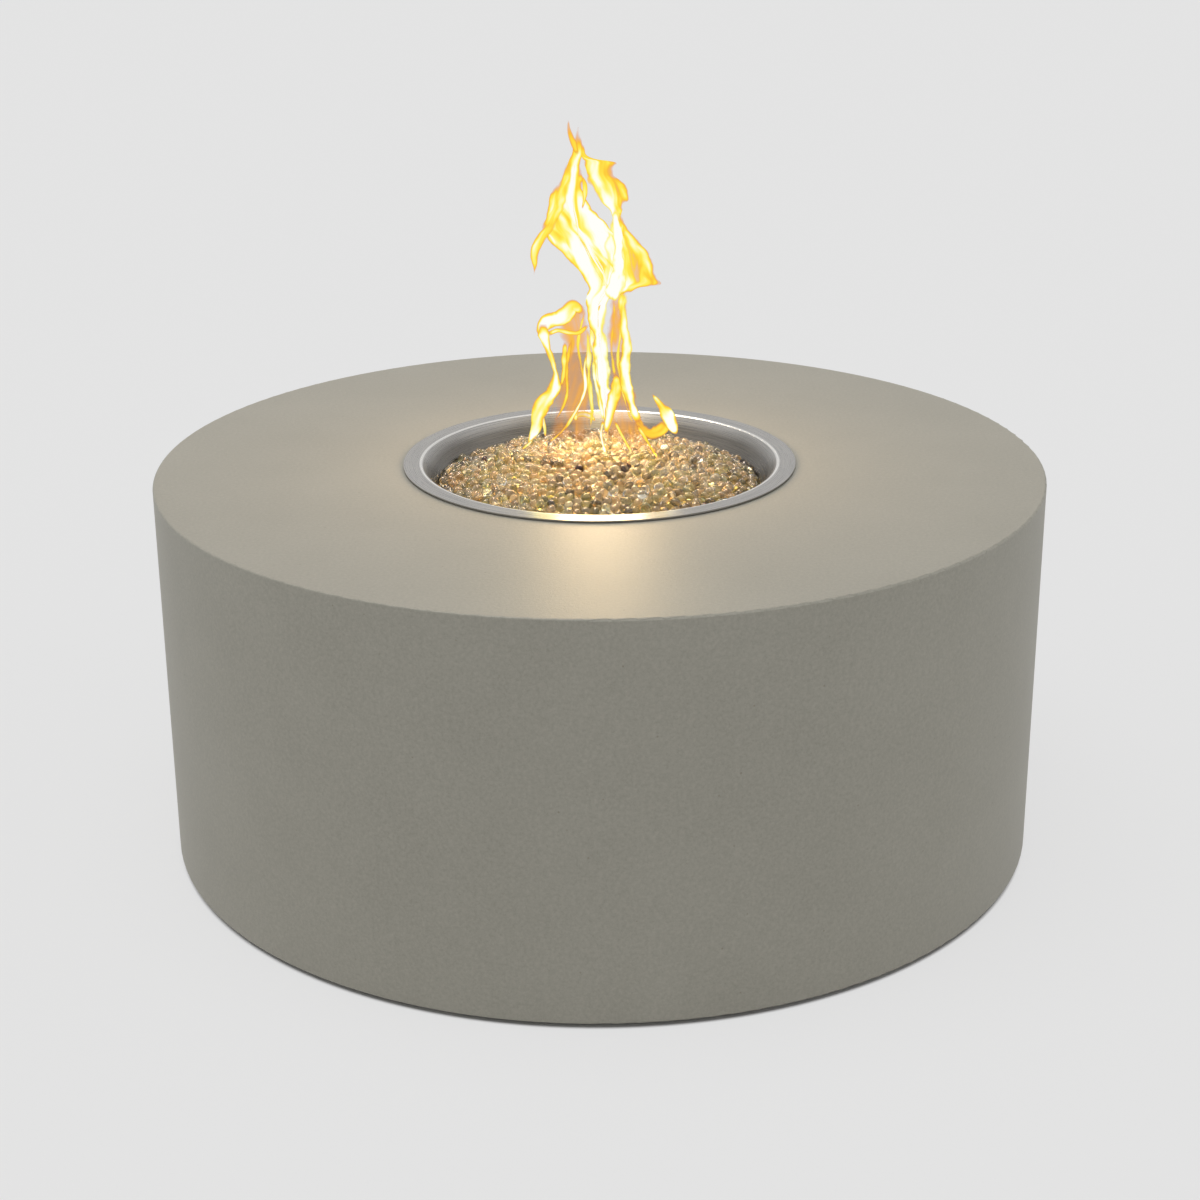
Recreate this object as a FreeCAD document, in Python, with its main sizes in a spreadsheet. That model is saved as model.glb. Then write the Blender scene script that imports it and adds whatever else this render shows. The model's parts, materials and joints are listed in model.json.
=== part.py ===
import FreeCAD, Part
import math
import os
import re

import Sketcher

# Round gas fire pit table: one cast shell with a drop-in burner pan, and the gas controls and service door at the back.
# Millimetres, Z up from the floor, the origin under the table's axis, the back of the table towards +Y.
# Azimuth is measured from +Y towards +X. On the wall, side runs to the right as seen from outside.

SIZES = {
    # Shell, cast in one piece: deck, wall and a ledge round the foot of the wall
    "shell_radius": 533.5,
    "shell_tall": 462,
    "shell_wall": 20,
    "deck_thick": 25,
    "ledge_wide": 65,
    "ledge_tall": 30,
    "deck_edge_round": 2.5,
    "base_edge_round": 2,
    "deck_corner_round": 12,
    # Feet
    "foot_tall": 6,
    "foot_radius": 22,
    "foot_count": 6,
    "foot_azimuth": 30,
    "foot_inset": 33.5,
    "foot_screw_radius": 2.5,
    "foot_screw_long": 23,
    "foot_head_radius": 5.5,
    "foot_head_thick": 2.2,
    "foot_head_sink": 0.8,
    # Burner pan, drawn from sheet, and its gasket
    "bowl_mouth_radius": 214.5,
    "bowl_floor_radius": 160,
    "bowl_deep": 70,
    "pan_sheet": 1.5,
    "pan_flange_wide": 22.5,
    "pan_lip_round": 4,
    "bowl_corner_round": 10,
    "pan_hole_clearance": 6,
    "gasket_thick": 1.5,
    "gasket_setback": 3,
    "gasket_inset": 1.5,
    "drain_radius": 4,
    "drain_circle": 62,
    "drain_count": 8,
    # Ring burner
    "burner_circle": 140,
    "burner_tube_radius": 9.5,
    "burner_tube_wall": 1.2,
    "burner_lift": 22,
    "hub_radius": 16,
    "nipple_radius": 10.65,
    "nipple_bore": 8,
    "nipple_long": 31,
    "port_radius": 1.5,
    "port_count": 24,
    "lock_nut_across": 34,
    "lock_nut_thick": 8,
    # Elbow, air mixer and orifice under the pan
    "elbow_drop": 39,
    "elbow_radius": 15,
    "elbow_arm": 34,
    "elbow_socket": 18,
    "mixer_long": 51,
    "mixer_radius": 14,
    "mixer_window": 5,
    "orifice_grip": 10,
    "orifice_hex_across": 24,
    "orifice_hex_thick": 12,
    "orifice_bore": 1.2,
    # Flare ends and hoses
    "flare_radius": 7.94,
    "flare_long": 18,
    "flare_bore": 5,
    "hose_radius": 6.5,
    "flare_nut_across": 22,
    "flare_nut_grip": 15,
    "flare_nut_neck": 7,
    # Fire glass bed
    "glass_edge_drop": 21,
    "glass_crown_rise": 20,
    "glass_lump_rise": 7,
    "glass_lump_radius": 26,
    "glass_lump_pitch": 61,
    # Spark electrode and thermocouple under a hood in the bed
    "hood_azimuth": 90,
    "hood_out": 105,
    "hood_radius": 20,
    "hood_wall": 1,
    "hood_tall": 40,
    "hood_flange_radius": 24,
    "hood_vent_radius": 3,
    "hood_vent_count": 8,
    "probe_side": 8,
    "probe_plate_long": 30,
    "probe_plate_wide": 16,
    "probe_plate_thick": 2,
    "ceramic_radius": 3.5,
    "ceramic_rise": 18,
    "ceramic_drop": 25,
    "electrode_tip_radius": 1.2,
    "electrode_tip_rise": 12,
    "thermocouple_radius": 3.2,
    "thermocouple_rise": 30,
    "thermocouple_drop": 20,
    "ignition_lead_radius": 1.75,
    "thermocouple_lead_radius": 1.5,
    # Control panel in a recess of the wall
    "panel_azimuth": 42,
    "panel_height": 320,
    "panel_sink": 14.5,
    "panel_thick": 2,
    "panel_half_wide": 88,
    "panel_half_tall": 68,
    "panel_lip": 16,
    "panel_boss_deep": 20,
    "panel_screw_inset": 8,
    "panel_screw_radius": 2,
    "panel_screw_long": 14,
    "panel_head_radius": 4,
    "panel_head_thick": 2.5,
    # Gas valve, its plug and stem, and the knob
    "valve_side": 32,
    "valve_half_wide": 20,
    "valve_deep": 55,
    "valve_setback": 17,
    "valve_neck_radius": 9,
    "valve_plug_radius": 5,
    "valve_plug_floor": 4,
    "valve_bore_deep": 55,
    "valve_stem_radius": 3,
    "neck_nut_across": 24,
    "neck_nut_thick": 5,
    "knob_radius": 21,
    "knob_base_thick": 7,
    "knob_tall": 22,
    "knob_bar_wide": 10,
    "knob_lift": 4,
    "knob_push": 3,
    "knob_edge_round": 1.5,
    "thermocouple_port_radius": 4,
    "thermocouple_port_long": 10,
    "thermocouple_port_side": 14,
    "thermocouple_port_drop": 12,
    # Igniter: housing, push button, battery, spring and nut
    "igniter_side": -36,
    "igniter_barrel_radius": 11,
    "igniter_barrel_long": 73,
    "igniter_flange_radius": 15,
    "igniter_flange_thick": 2.5,
    "igniter_back_wall": 3,
    "button_radius": 8,
    "button_long": 18,
    "button_proud": 5.5,
    "button_travel": 4,
    "button_edge_round": 1,
    "battery_radius": 7.25,
    "battery_long": 50.5,
    "spring_radius": 6,
    "spring_wire": 1,
    "igniter_nut_across": 27,
    "igniter_nut_thick": 8,
    # Gas inlet through the wall
    "inlet_azimuth": -42,
    "inlet_height": 75,
    "inlet_barrel_radius": 9,
    "inlet_hex_across": 27,
    "inlet_hex_thick": 7,
    "inlet_washer_radius": 17,
    "inlet_washer_thick": 1.5,
    "inlet_nut_across": 27,
    "inlet_nut_thick": 6.5,
    "inlet_reach": 9,
    "inlet_elbow_radius": 12,
    "inlet_elbow_arm": 20,
    # Service door at the back: opening, frame, leaf, hinges and latch
    "door_half_wide": 190,
    "door_height": 66,
    "door_tall": 300,
    "jamb_thick": 2,
    "door_gap": 3,
    "stop_lap": 12,
    "frame_lap": 15,
    "frame_sheet": 3.2,
    "frame_reveal": 1.5,
    "door_skin": 3,
    "leaf_setback": 3,
    "frame_screw_radius": 2,
    "frame_screw_reach": 12,
    "frame_head_radius": 4,
    "frame_head_thick": 2.5,
    "frame_screw_rows": 3,
    "hinge_inset": 55,
    "hinge_half_tall": 25,
    "hinge_barrel_radius": 4,
    "hinge_leaf": 1.2,
    "hinge_leaf_wide": 22,
    "hinge_pin_radius": 2,
    "hinge_pin_head_radius": 3.2,
    "hinge_pin_head_thick": 1.5,
    "hinge_stand_off": 0.5,
    "latch_inset": 20,
    "latch_flange_radius": 14,
    "latch_flange_thick": 2,
    "latch_barrel_radius": 9,
    "latch_spindle_radius": 4,
    "latch_nut_across": 24,
    "latch_nut_thick": 5.5,
    "latch_disc_radius": 11,
    "latch_disc_thick": 4,
    "latch_bar_long": 30,
    "latch_bar_wide": 6,
    "latch_bar_tall": 9,
    "cam_reach": 30,
    "cam_half_wide": 7,
    "cam_thick": 3,
    "cam_clearance": 1.7,
    "cam_screw_radius": 2,
    "cam_screw_long": 10,
    "cam_head_radius": 6,
    "cam_head_thick": 2.5,
    # Vent grilles low on both sides of the wall
    "vent_azimuth": 70,
    "vent_height": 105,
    "vent_half_wide": 80,
    "vent_half_tall": 26,
    "grille_lap": 14,
    "grille_sheet": 1.5,
    "grille_slot_count": 5,
    "grille_slot_tall": 5,
    "grille_slot_half": 74,
    "vent_screw_radius": 2,
    "vent_screw_long": 12,
    "vent_screw_inset": 7,
    "vent_head_radius": 3.6,
    "vent_head_thick": 2,
    # Clearances
    "seat_gap": 0.3,
    "running_gap": 0.05,
    "hole_gap": 0.1,
    "slack_gap": 0.5,
}

# Places and sizes that follow from the ones above
PLACES = {
    "deck_top": "foot_tall + shell_tall",
    "deck_under": "deck_top - deck_thick",
    "wall_inside": "shell_radius - shell_wall",
    "ledge_inside": "shell_radius - ledge_wide",
    "ledge_top": "foot_tall + ledge_tall",
    "foot_circle": "shell_radius - foot_inset",
    "pan_flange_radius": "bowl_mouth_radius + pan_flange_wide",
    "pan_hole_radius": "bowl_mouth_radius + pan_sheet + pan_hole_clearance",
    "flange_under": "deck_top + gasket_thick",
    "flange_top": "flange_under + pan_sheet",
    "bowl_floor": "flange_top - bowl_deep",
    "bowl_under": "bowl_floor - pan_sheet",
    "bowl_slope": "atan(bowl_deep / (bowl_mouth_radius - bowl_floor_radius))",
    "pan_mitre": "pan_sheet * tan(bowl_slope / 2)",
    "burner_height": "bowl_floor + burner_lift",
    "burner_bore": "burner_tube_radius - burner_tube_wall",
    "glass_edge": "deck_top - glass_edge_drop",
    "glass_crown": "deck_top + glass_crown_rise",
    "glass_setback": "seat_gap / sin(bowl_slope)",
    "glass_edge_radius": "bowl_mouth_radius - (flange_top - glass_edge) / tan(bowl_slope) - glass_setback",
    "glass_bed_top": "glass_crown - glass_lump_rise",
    "glass_rise": "glass_bed_top - glass_edge",
    "glass_ball": "(glass_edge_radius^2 + glass_rise^2) / (2 * glass_rise)",
    "glass_lump_shell": "glass_ball + glass_lump_rise - glass_lump_radius",
    "elbow_height": "bowl_under - elbow_drop",
    "nipple_end": "bowl_floor - nipple_long",
    "elbow_top": "elbow_height + elbow_socket + nipple_bore",
    "mixer_start": "elbow_arm - elbow_socket + seat_gap",
    "mixer_end": "elbow_arm + mixer_long",
    "orifice_start": "mixer_end - orifice_grip",
    "orifice_hex_end": "mixer_end + orifice_hex_thick",
    "orifice_end": "orifice_hex_end + flare_long",
    "ceramic_bottom": "bowl_floor - ceramic_drop",
    "ceramic_top": "bowl_floor + ceramic_rise",
    "thermocouple_bottom": "bowl_floor - thermocouple_drop",
    "panel_face_out": "shell_radius - panel_sink",
    "panel_back_out": "panel_face_out - panel_thick",
    "panel_boss_out": "panel_back_out - panel_boss_deep",
    "valve_front": "panel_back_out - valve_setback",
    "valve_back": "valve_front - valve_deep",
    "valve_outlet": "valve_back - flare_long",
    "neck_end": "panel_face_out + neck_nut_thick",
    "plug_bottom": "neck_end - valve_bore_deep + slack_gap",
    "plug_socket": "plug_bottom + valve_plug_floor",
    "stem_bottom": "plug_socket + knob_push + slack_gap",
    "knob_back": "neck_end + knob_lift",
    "knob_front": "knob_back + knob_tall",
    "stem_top": "knob_front - knob_base_thick",
    "valve_inlet_out": "(valve_back + valve_front) / 2",
    "valve_inlet_height": "panel_height - valve_half_wide - flare_long",
    "port_side": "valve_side - thermocouple_port_side",
    "port_height": "panel_height - thermocouple_port_drop",
    "port_end": "valve_back - thermocouple_port_long",
    "igniter_back": "panel_face_out - igniter_barrel_long",
    "igniter_front": "panel_face_out + igniter_flange_thick",
    "battery_back": "igniter_back + igniter_back_wall + slack_gap",
    "battery_front": "battery_back + battery_long",
    "button_front": "igniter_front + button_proud",
    "button_back": "button_front - button_long",
    "button_stop": "button_back - button_travel - slack_gap",
    "inlet_washer_out": "shell_radius + seat_gap",
    "inlet_hex_out": "inlet_washer_out + inlet_washer_thick",
    "inlet_flare_out": "inlet_hex_out + inlet_hex_thick",
    "inlet_tip": "inlet_flare_out + flare_long",
    "inlet_inner_washer": "sqrt(wall_inside^2 - inlet_washer_radius^2) - inlet_washer_thick",
    "inlet_nut_out": "inlet_inner_washer - inlet_nut_thick",
    "inlet_inner_end": "inlet_nut_out - inlet_reach",
    "inlet_elbow_out": "inlet_inner_end - inlet_elbow_radius",
    "inlet_elbow_end": "inlet_elbow_arm + flare_long",
    "hose_on_ledge": "ledge_top + hose_radius + seat_gap",
    "door_top": "door_height + door_tall",
    "jamb_half_wide": "door_half_wide - jamb_thick",
    "leaf_half_wide": "jamb_half_wide - door_gap",
    "leaf_height": "door_height + jamb_thick + door_gap",
    "leaf_top": "door_top - jamb_thick - door_gap",
    "stop_outside": "wall_inside - seat_gap",
    "stop_inside": "stop_outside - frame_sheet",
    "jamb_outside": "shell_radius - frame_reveal",
    "skin_inside": "shell_radius - door_skin",
    "leaf_inside": "wall_inside + leaf_setback",
    "frame_half_wide": "door_half_wide + frame_lap",
    "stop_half_wide": "leaf_half_wide - stop_lap",
    "hinge_side": "jamb_half_wide - door_gap / 2",
    "hinge_out": "sqrt(shell_radius^2 - hinge_side^2) + hinge_barrel_radius + hinge_stand_off",
    "hinge_slit": "door_gap / 2 - hinge_leaf",
    "hinge_near": "hinge_barrel_radius + seat_gap",
    "knuckle_tall": "2 * hinge_half_tall / 3",
    "latch_azimuth": "asin((leaf_half_wide - latch_inset) / shell_radius) / 1deg",
    "latch_height": "door_height + door_tall / 2",
    "latch_flange_out": "shell_radius + seat_gap",
    "latch_face": "latch_flange_out + latch_flange_thick",
    "cam_front": "stop_inside - cam_clearance",
    "cam_back": "cam_front - cam_thick",
    "latch_nut_front": "sqrt(skin_inside^2 - latch_nut_across^2 / 3) - seat_gap",
    "frame_screw_side": "door_half_wide + frame_lap / 2",
    "grille_inside": "shell_radius + seat_gap",
    "grille_outside": "grille_inside + grille_sheet",
    "grille_half_wide": "vent_half_wide + grille_lap",
    "grille_half_tall": "vent_half_tall + grille_lap",
    "grille_pitch": "2 * vent_half_tall / grille_slot_count",
    "vent_screw_side": "grille_half_wide - vent_screw_inset",
    "vent_screw_rise": "grille_half_tall - vent_screw_inset",
}

ARC_SHARE = 0.45
GLASS_RINGS, GLASS_RING_LUMPS, GLASS_RING_TWIST = 3, 6, 17
MATCH = 0.01

doc = FreeCAD.newDocument("GasFirePitTable")
sheet = doc.addObject("Spreadsheet::Sheet", "Sizes")
for row, (alias, number) in enumerate(SIZES.items(), start=1):
    sheet.set("A%d" % row, alias)
    sheet.set("B%d" % row, str(number))
    sheet.setAlias("B%d" % row, alias)
doc.recompute()

nodes = {}


def tied(text):
    """The text as an expression: places are written out and each size is read from its cell."""

    def swap(found):
        word = found.group(0)
        if word in PLACES:
            return "(" + tied(PLACES[word]) + ")"
        return "Sizes." + word if word in SIZES else word

    return re.sub(r"[a-z_]+", swap, text)


def worth(text):
    """The number that an expression has now."""
    result = sheet.evalExpression(tied(text))
    return float(getattr(result, "Value", result))


def tie(item, **sizes):
    """Bind an object's sizes to expressions."""
    for name, text in sizes.items():
        item.setExpression(name, tied(text))


def facing(azimuth):
    """Rotation that turns Z out of the wall at an azimuth, X to the right seen from outside, and Y up."""
    return "rotation(180 - (%s); 0; 90)" % azimuth


def spot(azimuth, out, side="0", height="0"):
    """Position at a distance out from the table's axis, with side measured along the wall."""
    return "vector(({o}) * sin({a}) - ({s}) * cos({a}); ({o}) * cos({a}) + ({s}) * sin({a}); {h})".format(
        a=azimuth, o=out, s=side, h=height)


def on_wall(azimuth, out="0", side="0", height="0"):
    return "placement(%s; %s)" % (spot(azimuth, out, side, height), facing(azimuth))


def upright(x="0", y="0", height="0", yaw="0"):
    return "placement(vector(%s; %s; %s); rotation(%s; 0; 0))" % (x, y, height, yaw)


def solid(kind, label, place, **sizes):
    """A primitive with its sizes and its place bound."""
    item = doc.addObject("Part::" + kind, label)
    tie(item, **sizes)
    tie(item, Placement=place)
    return item


def rod(label, place, radius, length):
    return solid("Cylinder", label, place, Radius=radius, Height=length)


def wall_block(label, azimuth, out, length, half_wide, low, tall, side="0"):
    """A block square to the wall, from a distance out, centred on a side and standing from a height."""
    place = on_wall(azimuth, out, "(%s) - (%s)" % (side, half_wide), low)
    return solid("Box", label, place, Length="2 * (%s)" % half_wide, Width=tall, Height=length)


def hexagon(label, place, across, thick):
    prism = doc.addObject("Part::Prism", label)
    prism.Polygon = 6
    tie(prism, Circumradius="(%s) / sqrt(3)" % across, Height=thick, Placement=place)
    return prism


def joined(label, items):
    item = doc.addObject("Part::MultiFuse", label)
    item.Shapes = items
    return item


def less(label, base, tools):
    item = doc.addObject("Part::Cut", label)
    item.Base = base
    item.Tool = tools[0] if len(tools) == 1 else joined(label + "Cutters", tools)
    return item


def shared(label, first, second):
    item = doc.addObject("Part::Common", label)
    item.Base = first
    item.Tool = second
    return item


def plane_of(body, role):
    return next(plane for plane in body.Origin.OriginFeatures if plane.Role == role)


def sketch_on(body, role, label):
    sketch = body.newObject("Sketcher::SketchObject", label)
    sketch.AttachmentSupport = [(plane_of(body, role), "")]
    sketch.MapMode = "FlatFace"
    return sketch


def pin_point(sketch, line, end, across, up):
    """Hold a sketch point at two expressions, measured from the sketch's origin."""
    for kind, text in (("DistanceX", across), ("DistanceY", up)):
        number = sketch.addConstraint(Sketcher.Constraint(kind, -1, 1, line, end, worth(text)))
        sketch.setExpression("Constraints[%d]" % number, tied(text))


def closed_outline(sketch, corners):
    """Straight lines through the corners and back to the first."""
    points = [FreeCAD.Vector(worth(across), worth(up), 0) for across, up in corners]
    first = len(sketch.Geometry)
    for start, end in zip(points, points[1:] + points[:1]):
        sketch.addGeometry(Part.LineSegment(start, end))
    for number, (across, up) in enumerate(corners):
        line, following = first + number, first + (number + 1) % len(corners)
        sketch.addConstraint(Sketcher.Constraint("Coincident", line, 2, following, 1))
        pin_point(sketch, line, 1, across, up)


def turned(label, corners, place=None):
    """A body turned about its own Z axis from corners given as (radius, height)."""
    body = doc.addObject("PartDesign::Body", label)
    sketch = sketch_on(body, "XZ_Plane", label + "Outline")
    closed_outline(sketch, corners)
    turn = body.newObject("PartDesign::Revolution", label + "Turn")
    turn.Profile = sketch
    turn.ReferenceAxis = (sketch, ["V_Axis"])
    turn.Angle = 360
    if place:
        tie(body, Placement=place)
    doc.recompute()
    return body


def sleeve(label, place, inner, outer, start, end):
    """A plain turned tube between two heights along its own axis."""
    return turned(label, [(inner, start), (outer, start), (outer, end), (inner, end)], place)


def bar(label, place, radius, start, end):
    return turned(label, [("0", start), (radius, start), (radius, end), ("0", end)], place)


def ring_edges(shape, radius, height):
    """Names of the circular edges about the Z axis at a radius and a height."""
    names = []
    for number, edge in enumerate(shape.Edges, start=1):
        if isinstance(edge.Curve, Part.Circle):
            centre = edge.Curve.Center
            off = math.hypot(centre.x, centre.y)
            if max(off, abs(centre.z - height), abs(edge.Curve.Radius - radius)) < MATCH:
                names.append("Edge%d" % number)
    return names


def rounded(body, radius, height, size, kind="Fillet"):
    """Round, or chamfer, the turned edge at a radius and a height."""
    edges = ring_edges(body.Tip.Shape, worth(radius), worth(height))
    base = body.Tip
    item = body.newObject("PartDesign::" + kind, body.Label + kind)
    item.Base = (base, edges)
    item.setExpression("Radius" if kind == "Fillet" else "Size", tied(size))
    doc.recompute()
    return body


def drilled(body, role, radius, centre, count=None):
    """Drill through the body at a centre given as (across, up) on an origin plane, and repeat it about the Z axis."""
    label = body.Label + "Drill"
    sketch = sketch_on(body, role, label + "Circle")
    circle = sketch.addGeometry(Part.Circle(FreeCAD.Vector(worth(centre[0]), worth(centre[1]), 0),
                                            FreeCAD.Vector(0, 0, 1), worth(radius)))
    number = sketch.addConstraint(Sketcher.Constraint("Radius", circle, worth(radius)))
    sketch.setExpression("Constraints[%d]" % number, tied(radius))
    pin_point(sketch, circle, 3, *centre)
    cut = body.newObject("PartDesign::Pocket", label)
    cut.Profile = sketch
    cut.Type = "ThroughAll"
    cut.Midplane = True
    doc.recompute()
    if count:
        pattern = body.newObject("PartDesign::PolarPattern", label + "Pattern")
        pattern.Originals = [cut]
        pattern.Axis = (sketch, ["N_Axis"]) if role == "XY_Plane" else (sketch, ["V_Axis"])
        pattern.Angle = 360
        tie(pattern, Occurrences=count)
        body.Tip = pattern
        doc.recompute()
    return body


def wall_shell(label, inner, outer, low, tall):
    """A curved band about the table's axis between two radii."""
    outside = rod(label + "Outside", upright(height=low), outer, tall)
    inside = rod(label + "Inside", upright(height=low), inner, tall)
    return less(label, outside, [inside])


def node(name, item):
    """Name a finished piece."""
    item.Label = name
    nodes[name] = item
    return item


def corners_of(half_wide, half_tall):
    return [("%s%s" % (x, half_wide), "%s%s" % (y, half_tall)) for x in ("", "-") for y in ("", "-")]


def screw(label, place, radius, length, head_radius, head_thick):
    """A screw along its place's Z axis: the head stands above zero and the shank reaches below it."""
    return turned(label, [("0", "-(%s)" % length), (radius, "-(%s)" % length), (radius, "0"),
                          (head_radius, "0"), (head_radius, head_thick), ("0", head_thick)], place)


# Feet
foot_count = int(worth("foot_count"))
foot_pads = []
foot_screws = []
foot_holes = []
for number in range(foot_count):
    azimuth = "foot_azimuth + %d * 360 / foot_count" % number
    x, y = "foot_circle * sin(%s)" % azimuth, "foot_circle * cos(%s)" % azimuth
    pad = rod("FootBlank", upright(x, y), "foot_radius", "foot_tall")
    shank = rod("FootHole", upright(x, y), "foot_screw_radius + hole_gap", "foot_tall")
    sink = rod("FootSink", upright(x, y), "foot_head_radius + slack_gap",
               "foot_head_sink + foot_head_thick")
    foot_pads.append(less("FootPad", pad, [shank, sink]))
    place = "placement(vector(%s; %s; foot_head_sink + foot_head_thick); rotation(0; 180; 0))" % (x, y)
    foot_screws.append(screw("FootScrew", place, "foot_screw_radius", "foot_screw_long",
                             "foot_head_radius", "foot_head_thick"))
    foot_holes.append(rod("LedgeHole", upright(x, y, "foot_head_sink + foot_head_thick"),
                          "foot_screw_radius + running_gap", "foot_screw_long + slack_gap"))
node("foot_pads", joined("FootPads", foot_pads))
node("foot_screws", joined("FootScrews", foot_screws))


# Shell: deck, wall and ledge in one casting, with the rear openings cut through it
shell_blank = turned("ShellBlank", [
    ("pan_hole_radius", "deck_top"), ("shell_radius", "deck_top"),
    ("shell_radius", "foot_tall"), ("ledge_inside", "foot_tall"),
    ("ledge_inside", "ledge_top"), ("wall_inside", "ledge_top"),
    ("wall_inside", "deck_under"), ("pan_hole_radius", "deck_under")])
rounded(shell_blank, "shell_radius", "deck_top", "deck_edge_round")
rounded(shell_blank, "shell_radius", "foot_tall", "base_edge_round")
rounded(shell_blank, "wall_inside", "deck_under", "deck_corner_round")

through_start, through_long = "wall_inside / 2", "shell_radius"
door_cut = wall_block("DoorCut", "0", through_start, through_long, "door_half_wide", "door_height", "door_tall")
recess_cut = wall_block("RecessCut", "panel_azimuth", "panel_back_out", through_long, "panel_half_wide",
                        "panel_height - panel_half_tall", "2 * panel_half_tall")
window_cut = wall_block("WindowCut", "panel_azimuth", through_start, through_long, "panel_half_wide - panel_lip",
                        "panel_height - panel_half_tall + panel_lip", "2 * (panel_half_tall - panel_lip)")
inlet_cut = rod("InletCut", on_wall("inlet_azimuth", through_start, height="inlet_height"),
                "inlet_barrel_radius + seat_gap", through_long)
shell_cuts = foot_holes + [door_cut, recess_cut, window_cut, inlet_cut]

panel_screw_spots = corners_of("(panel_half_wide - panel_screw_inset)", "(panel_half_tall - panel_screw_inset)")
for side, rise in panel_screw_spots:
    place = on_wall("panel_azimuth", "panel_face_out - panel_screw_long - slack_gap", side, "panel_height + " + rise)
    shell_cuts.append(rod("PanelScrewCut", place, "panel_screw_radius + running_gap",
                          "panel_screw_long + slack_gap"))

vent_sides = {"right": "vent_azimuth", "left": "-vent_azimuth"}
vent_screw_spots = corners_of("vent_screw_side", "vent_screw_rise")


def vent_screw_place(azimuth, side, rise, out):
    """Radial place at a grille's corner, the corner's side counted along the wall as an angle."""
    turn = "(%s) - asin((%s) / shell_radius) / 1deg" % (azimuth, side)
    return on_wall(turn, out, height="vent_height + " + rise)


for azimuth in vent_sides.values():
    shell_cuts.append(wall_block("VentCut", azimuth, through_start, through_long, "vent_half_wide",
                                 "vent_height - vent_half_tall", "2 * vent_half_tall"))
    for side, rise in vent_screw_spots:
        place = vent_screw_place(azimuth, side, rise, "grille_outside - vent_screw_long - slack_gap")
        shell_cuts.append(rod("VentScrewCut", place, "vent_screw_radius + running_gap",
                              "vent_screw_long + slack_gap"))

frame_screw_spots = []
screw_rows = int(worth("frame_screw_rows"))
for sign in ("", "-"):
    for number in range(screw_rows):
        turn = "%sasin(frame_screw_side / wall_inside) / 1deg" % sign
        height = "door_height + door_tall * %d / (2 * frame_screw_rows)" % (2 * number + 1)
        frame_screw_spots.append((turn, height))
        place = on_wall(turn, "stop_inside", height=height)
        shell_cuts.append(rod("FrameScrewCut", place, "frame_screw_radius + running_gap",
                              "frame_screw_reach + slack_gap"))
panel_boss = wall_block("PanelBoss", "panel_azimuth", "panel_boss_out", "panel_back_out - panel_boss_out",
                        "panel_half_wide + panel_lip", "panel_height - panel_half_tall - panel_lip",
                        "2 * (panel_half_tall + panel_lip)")
node("shell", less("Shell", joined("ShellCasting", [shell_blank, panel_boss]), shell_cuts))


# Gasket and burner pan
node("pan_gasket", sleeve("PanGasket", None, "pan_hole_radius + gasket_inset",
                          "pan_flange_radius - gasket_setback", "deck_top", "flange_under"))

pan = turned("BurnerPan", [
    ("nipple_radius + seat_gap", "bowl_floor"), ("bowl_floor_radius", "bowl_floor"),
    ("bowl_mouth_radius", "flange_top"), ("pan_flange_radius", "flange_top"),
    ("pan_flange_radius", "flange_under"), ("bowl_mouth_radius + pan_mitre", "flange_under"),
    ("bowl_floor_radius + pan_mitre", "bowl_under"), ("nipple_radius + seat_gap", "bowl_under")])
rounded(pan, "bowl_mouth_radius", "flange_top", "pan_lip_round")
rounded(pan, "bowl_mouth_radius + pan_mitre", "flange_under", "pan_lip_round - pan_sheet")
rounded(pan, "bowl_floor_radius", "bowl_floor", "bowl_corner_round")
rounded(pan, "bowl_floor_radius + pan_mitre", "bowl_under", "bowl_corner_round + pan_sheet")
drilled(pan, "XY_Plane", "drain_radius", ("drain_circle * cos(180 / drain_count)",
                                          "drain_circle * sin(180 / drain_count)"), "drain_count")
probe_spots = {"ceramic": "-probe_side", "thermocouple": "probe_side"}
pan_cuts = [rod("ProbeCut", upright(*[("hood_out * sin(hood_azimuth) - (%s) * cos(hood_azimuth)" % side),
                                      ("hood_out * cos(hood_azimuth) + (%s) * sin(hood_azimuth)" % side)],
                                    height="bowl_under"), name + "_radius + seat_gap", "pan_sheet")
            for name, side in probe_spots.items()]
node("burner_pan", less("BurnerPanDrilled", pan, pan_cuts))


# Ring burner: ring, cross tube, hub and nipple welded into one piece, hollow inside, with ports along its top
def burner_skeleton(label, tube, hub, hub_low, hub_top):
    """The ring, the cross tube and the hub at given radii."""
    ring = solid("Torus", label + "Ring", upright(height="burner_height"), Radius1="burner_circle", Radius2=tube)
    cross = rod(label + "Cross", on_wall("0", "-burner_circle", height="burner_height"), tube, "2 * burner_circle")
    middle = rod(label + "Hub", upright(height=hub_low), hub, "%s - (%s)" % (hub_top, hub_low))
    return joined(label, [ring, cross, middle])


burner_metal = burner_skeleton("BurnerMetal", "burner_tube_radius", "hub_radius", "bowl_floor",
                               "burner_height + hub_radius")
nipple = rod("Nipple", upright(height="nipple_end"), "nipple_radius", "nipple_long + burner_tube_radius")
burner_gas = burner_skeleton("BurnerGas", "burner_bore", "nipple_bore", "nipple_end", "burner_height + nipple_bore")
burner_ports = []
for number in range(int(worth("port_count"))):
    azimuth = "(%d + 0.5) * 360 / port_count" % number
    burner_ports.append(rod("BurnerPort", upright("burner_circle * sin(%s)" % azimuth,
                                                  "burner_circle * cos(%s)" % azimuth, "burner_height"),
                            "port_radius", "2 * burner_tube_radius"))
node("ring_burner", less("RingBurner", joined("BurnerSolid", [burner_metal, nipple]), [burner_gas] + burner_ports))


def hex_nut(label, place, across, thick, bore):
    """A hexagon nut that starts at its place and runs along its Z axis."""
    return less(label, hexagon(label + "Hex", place, across, thick), [rod(label + "Bore", place, bore, thick)])


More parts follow.
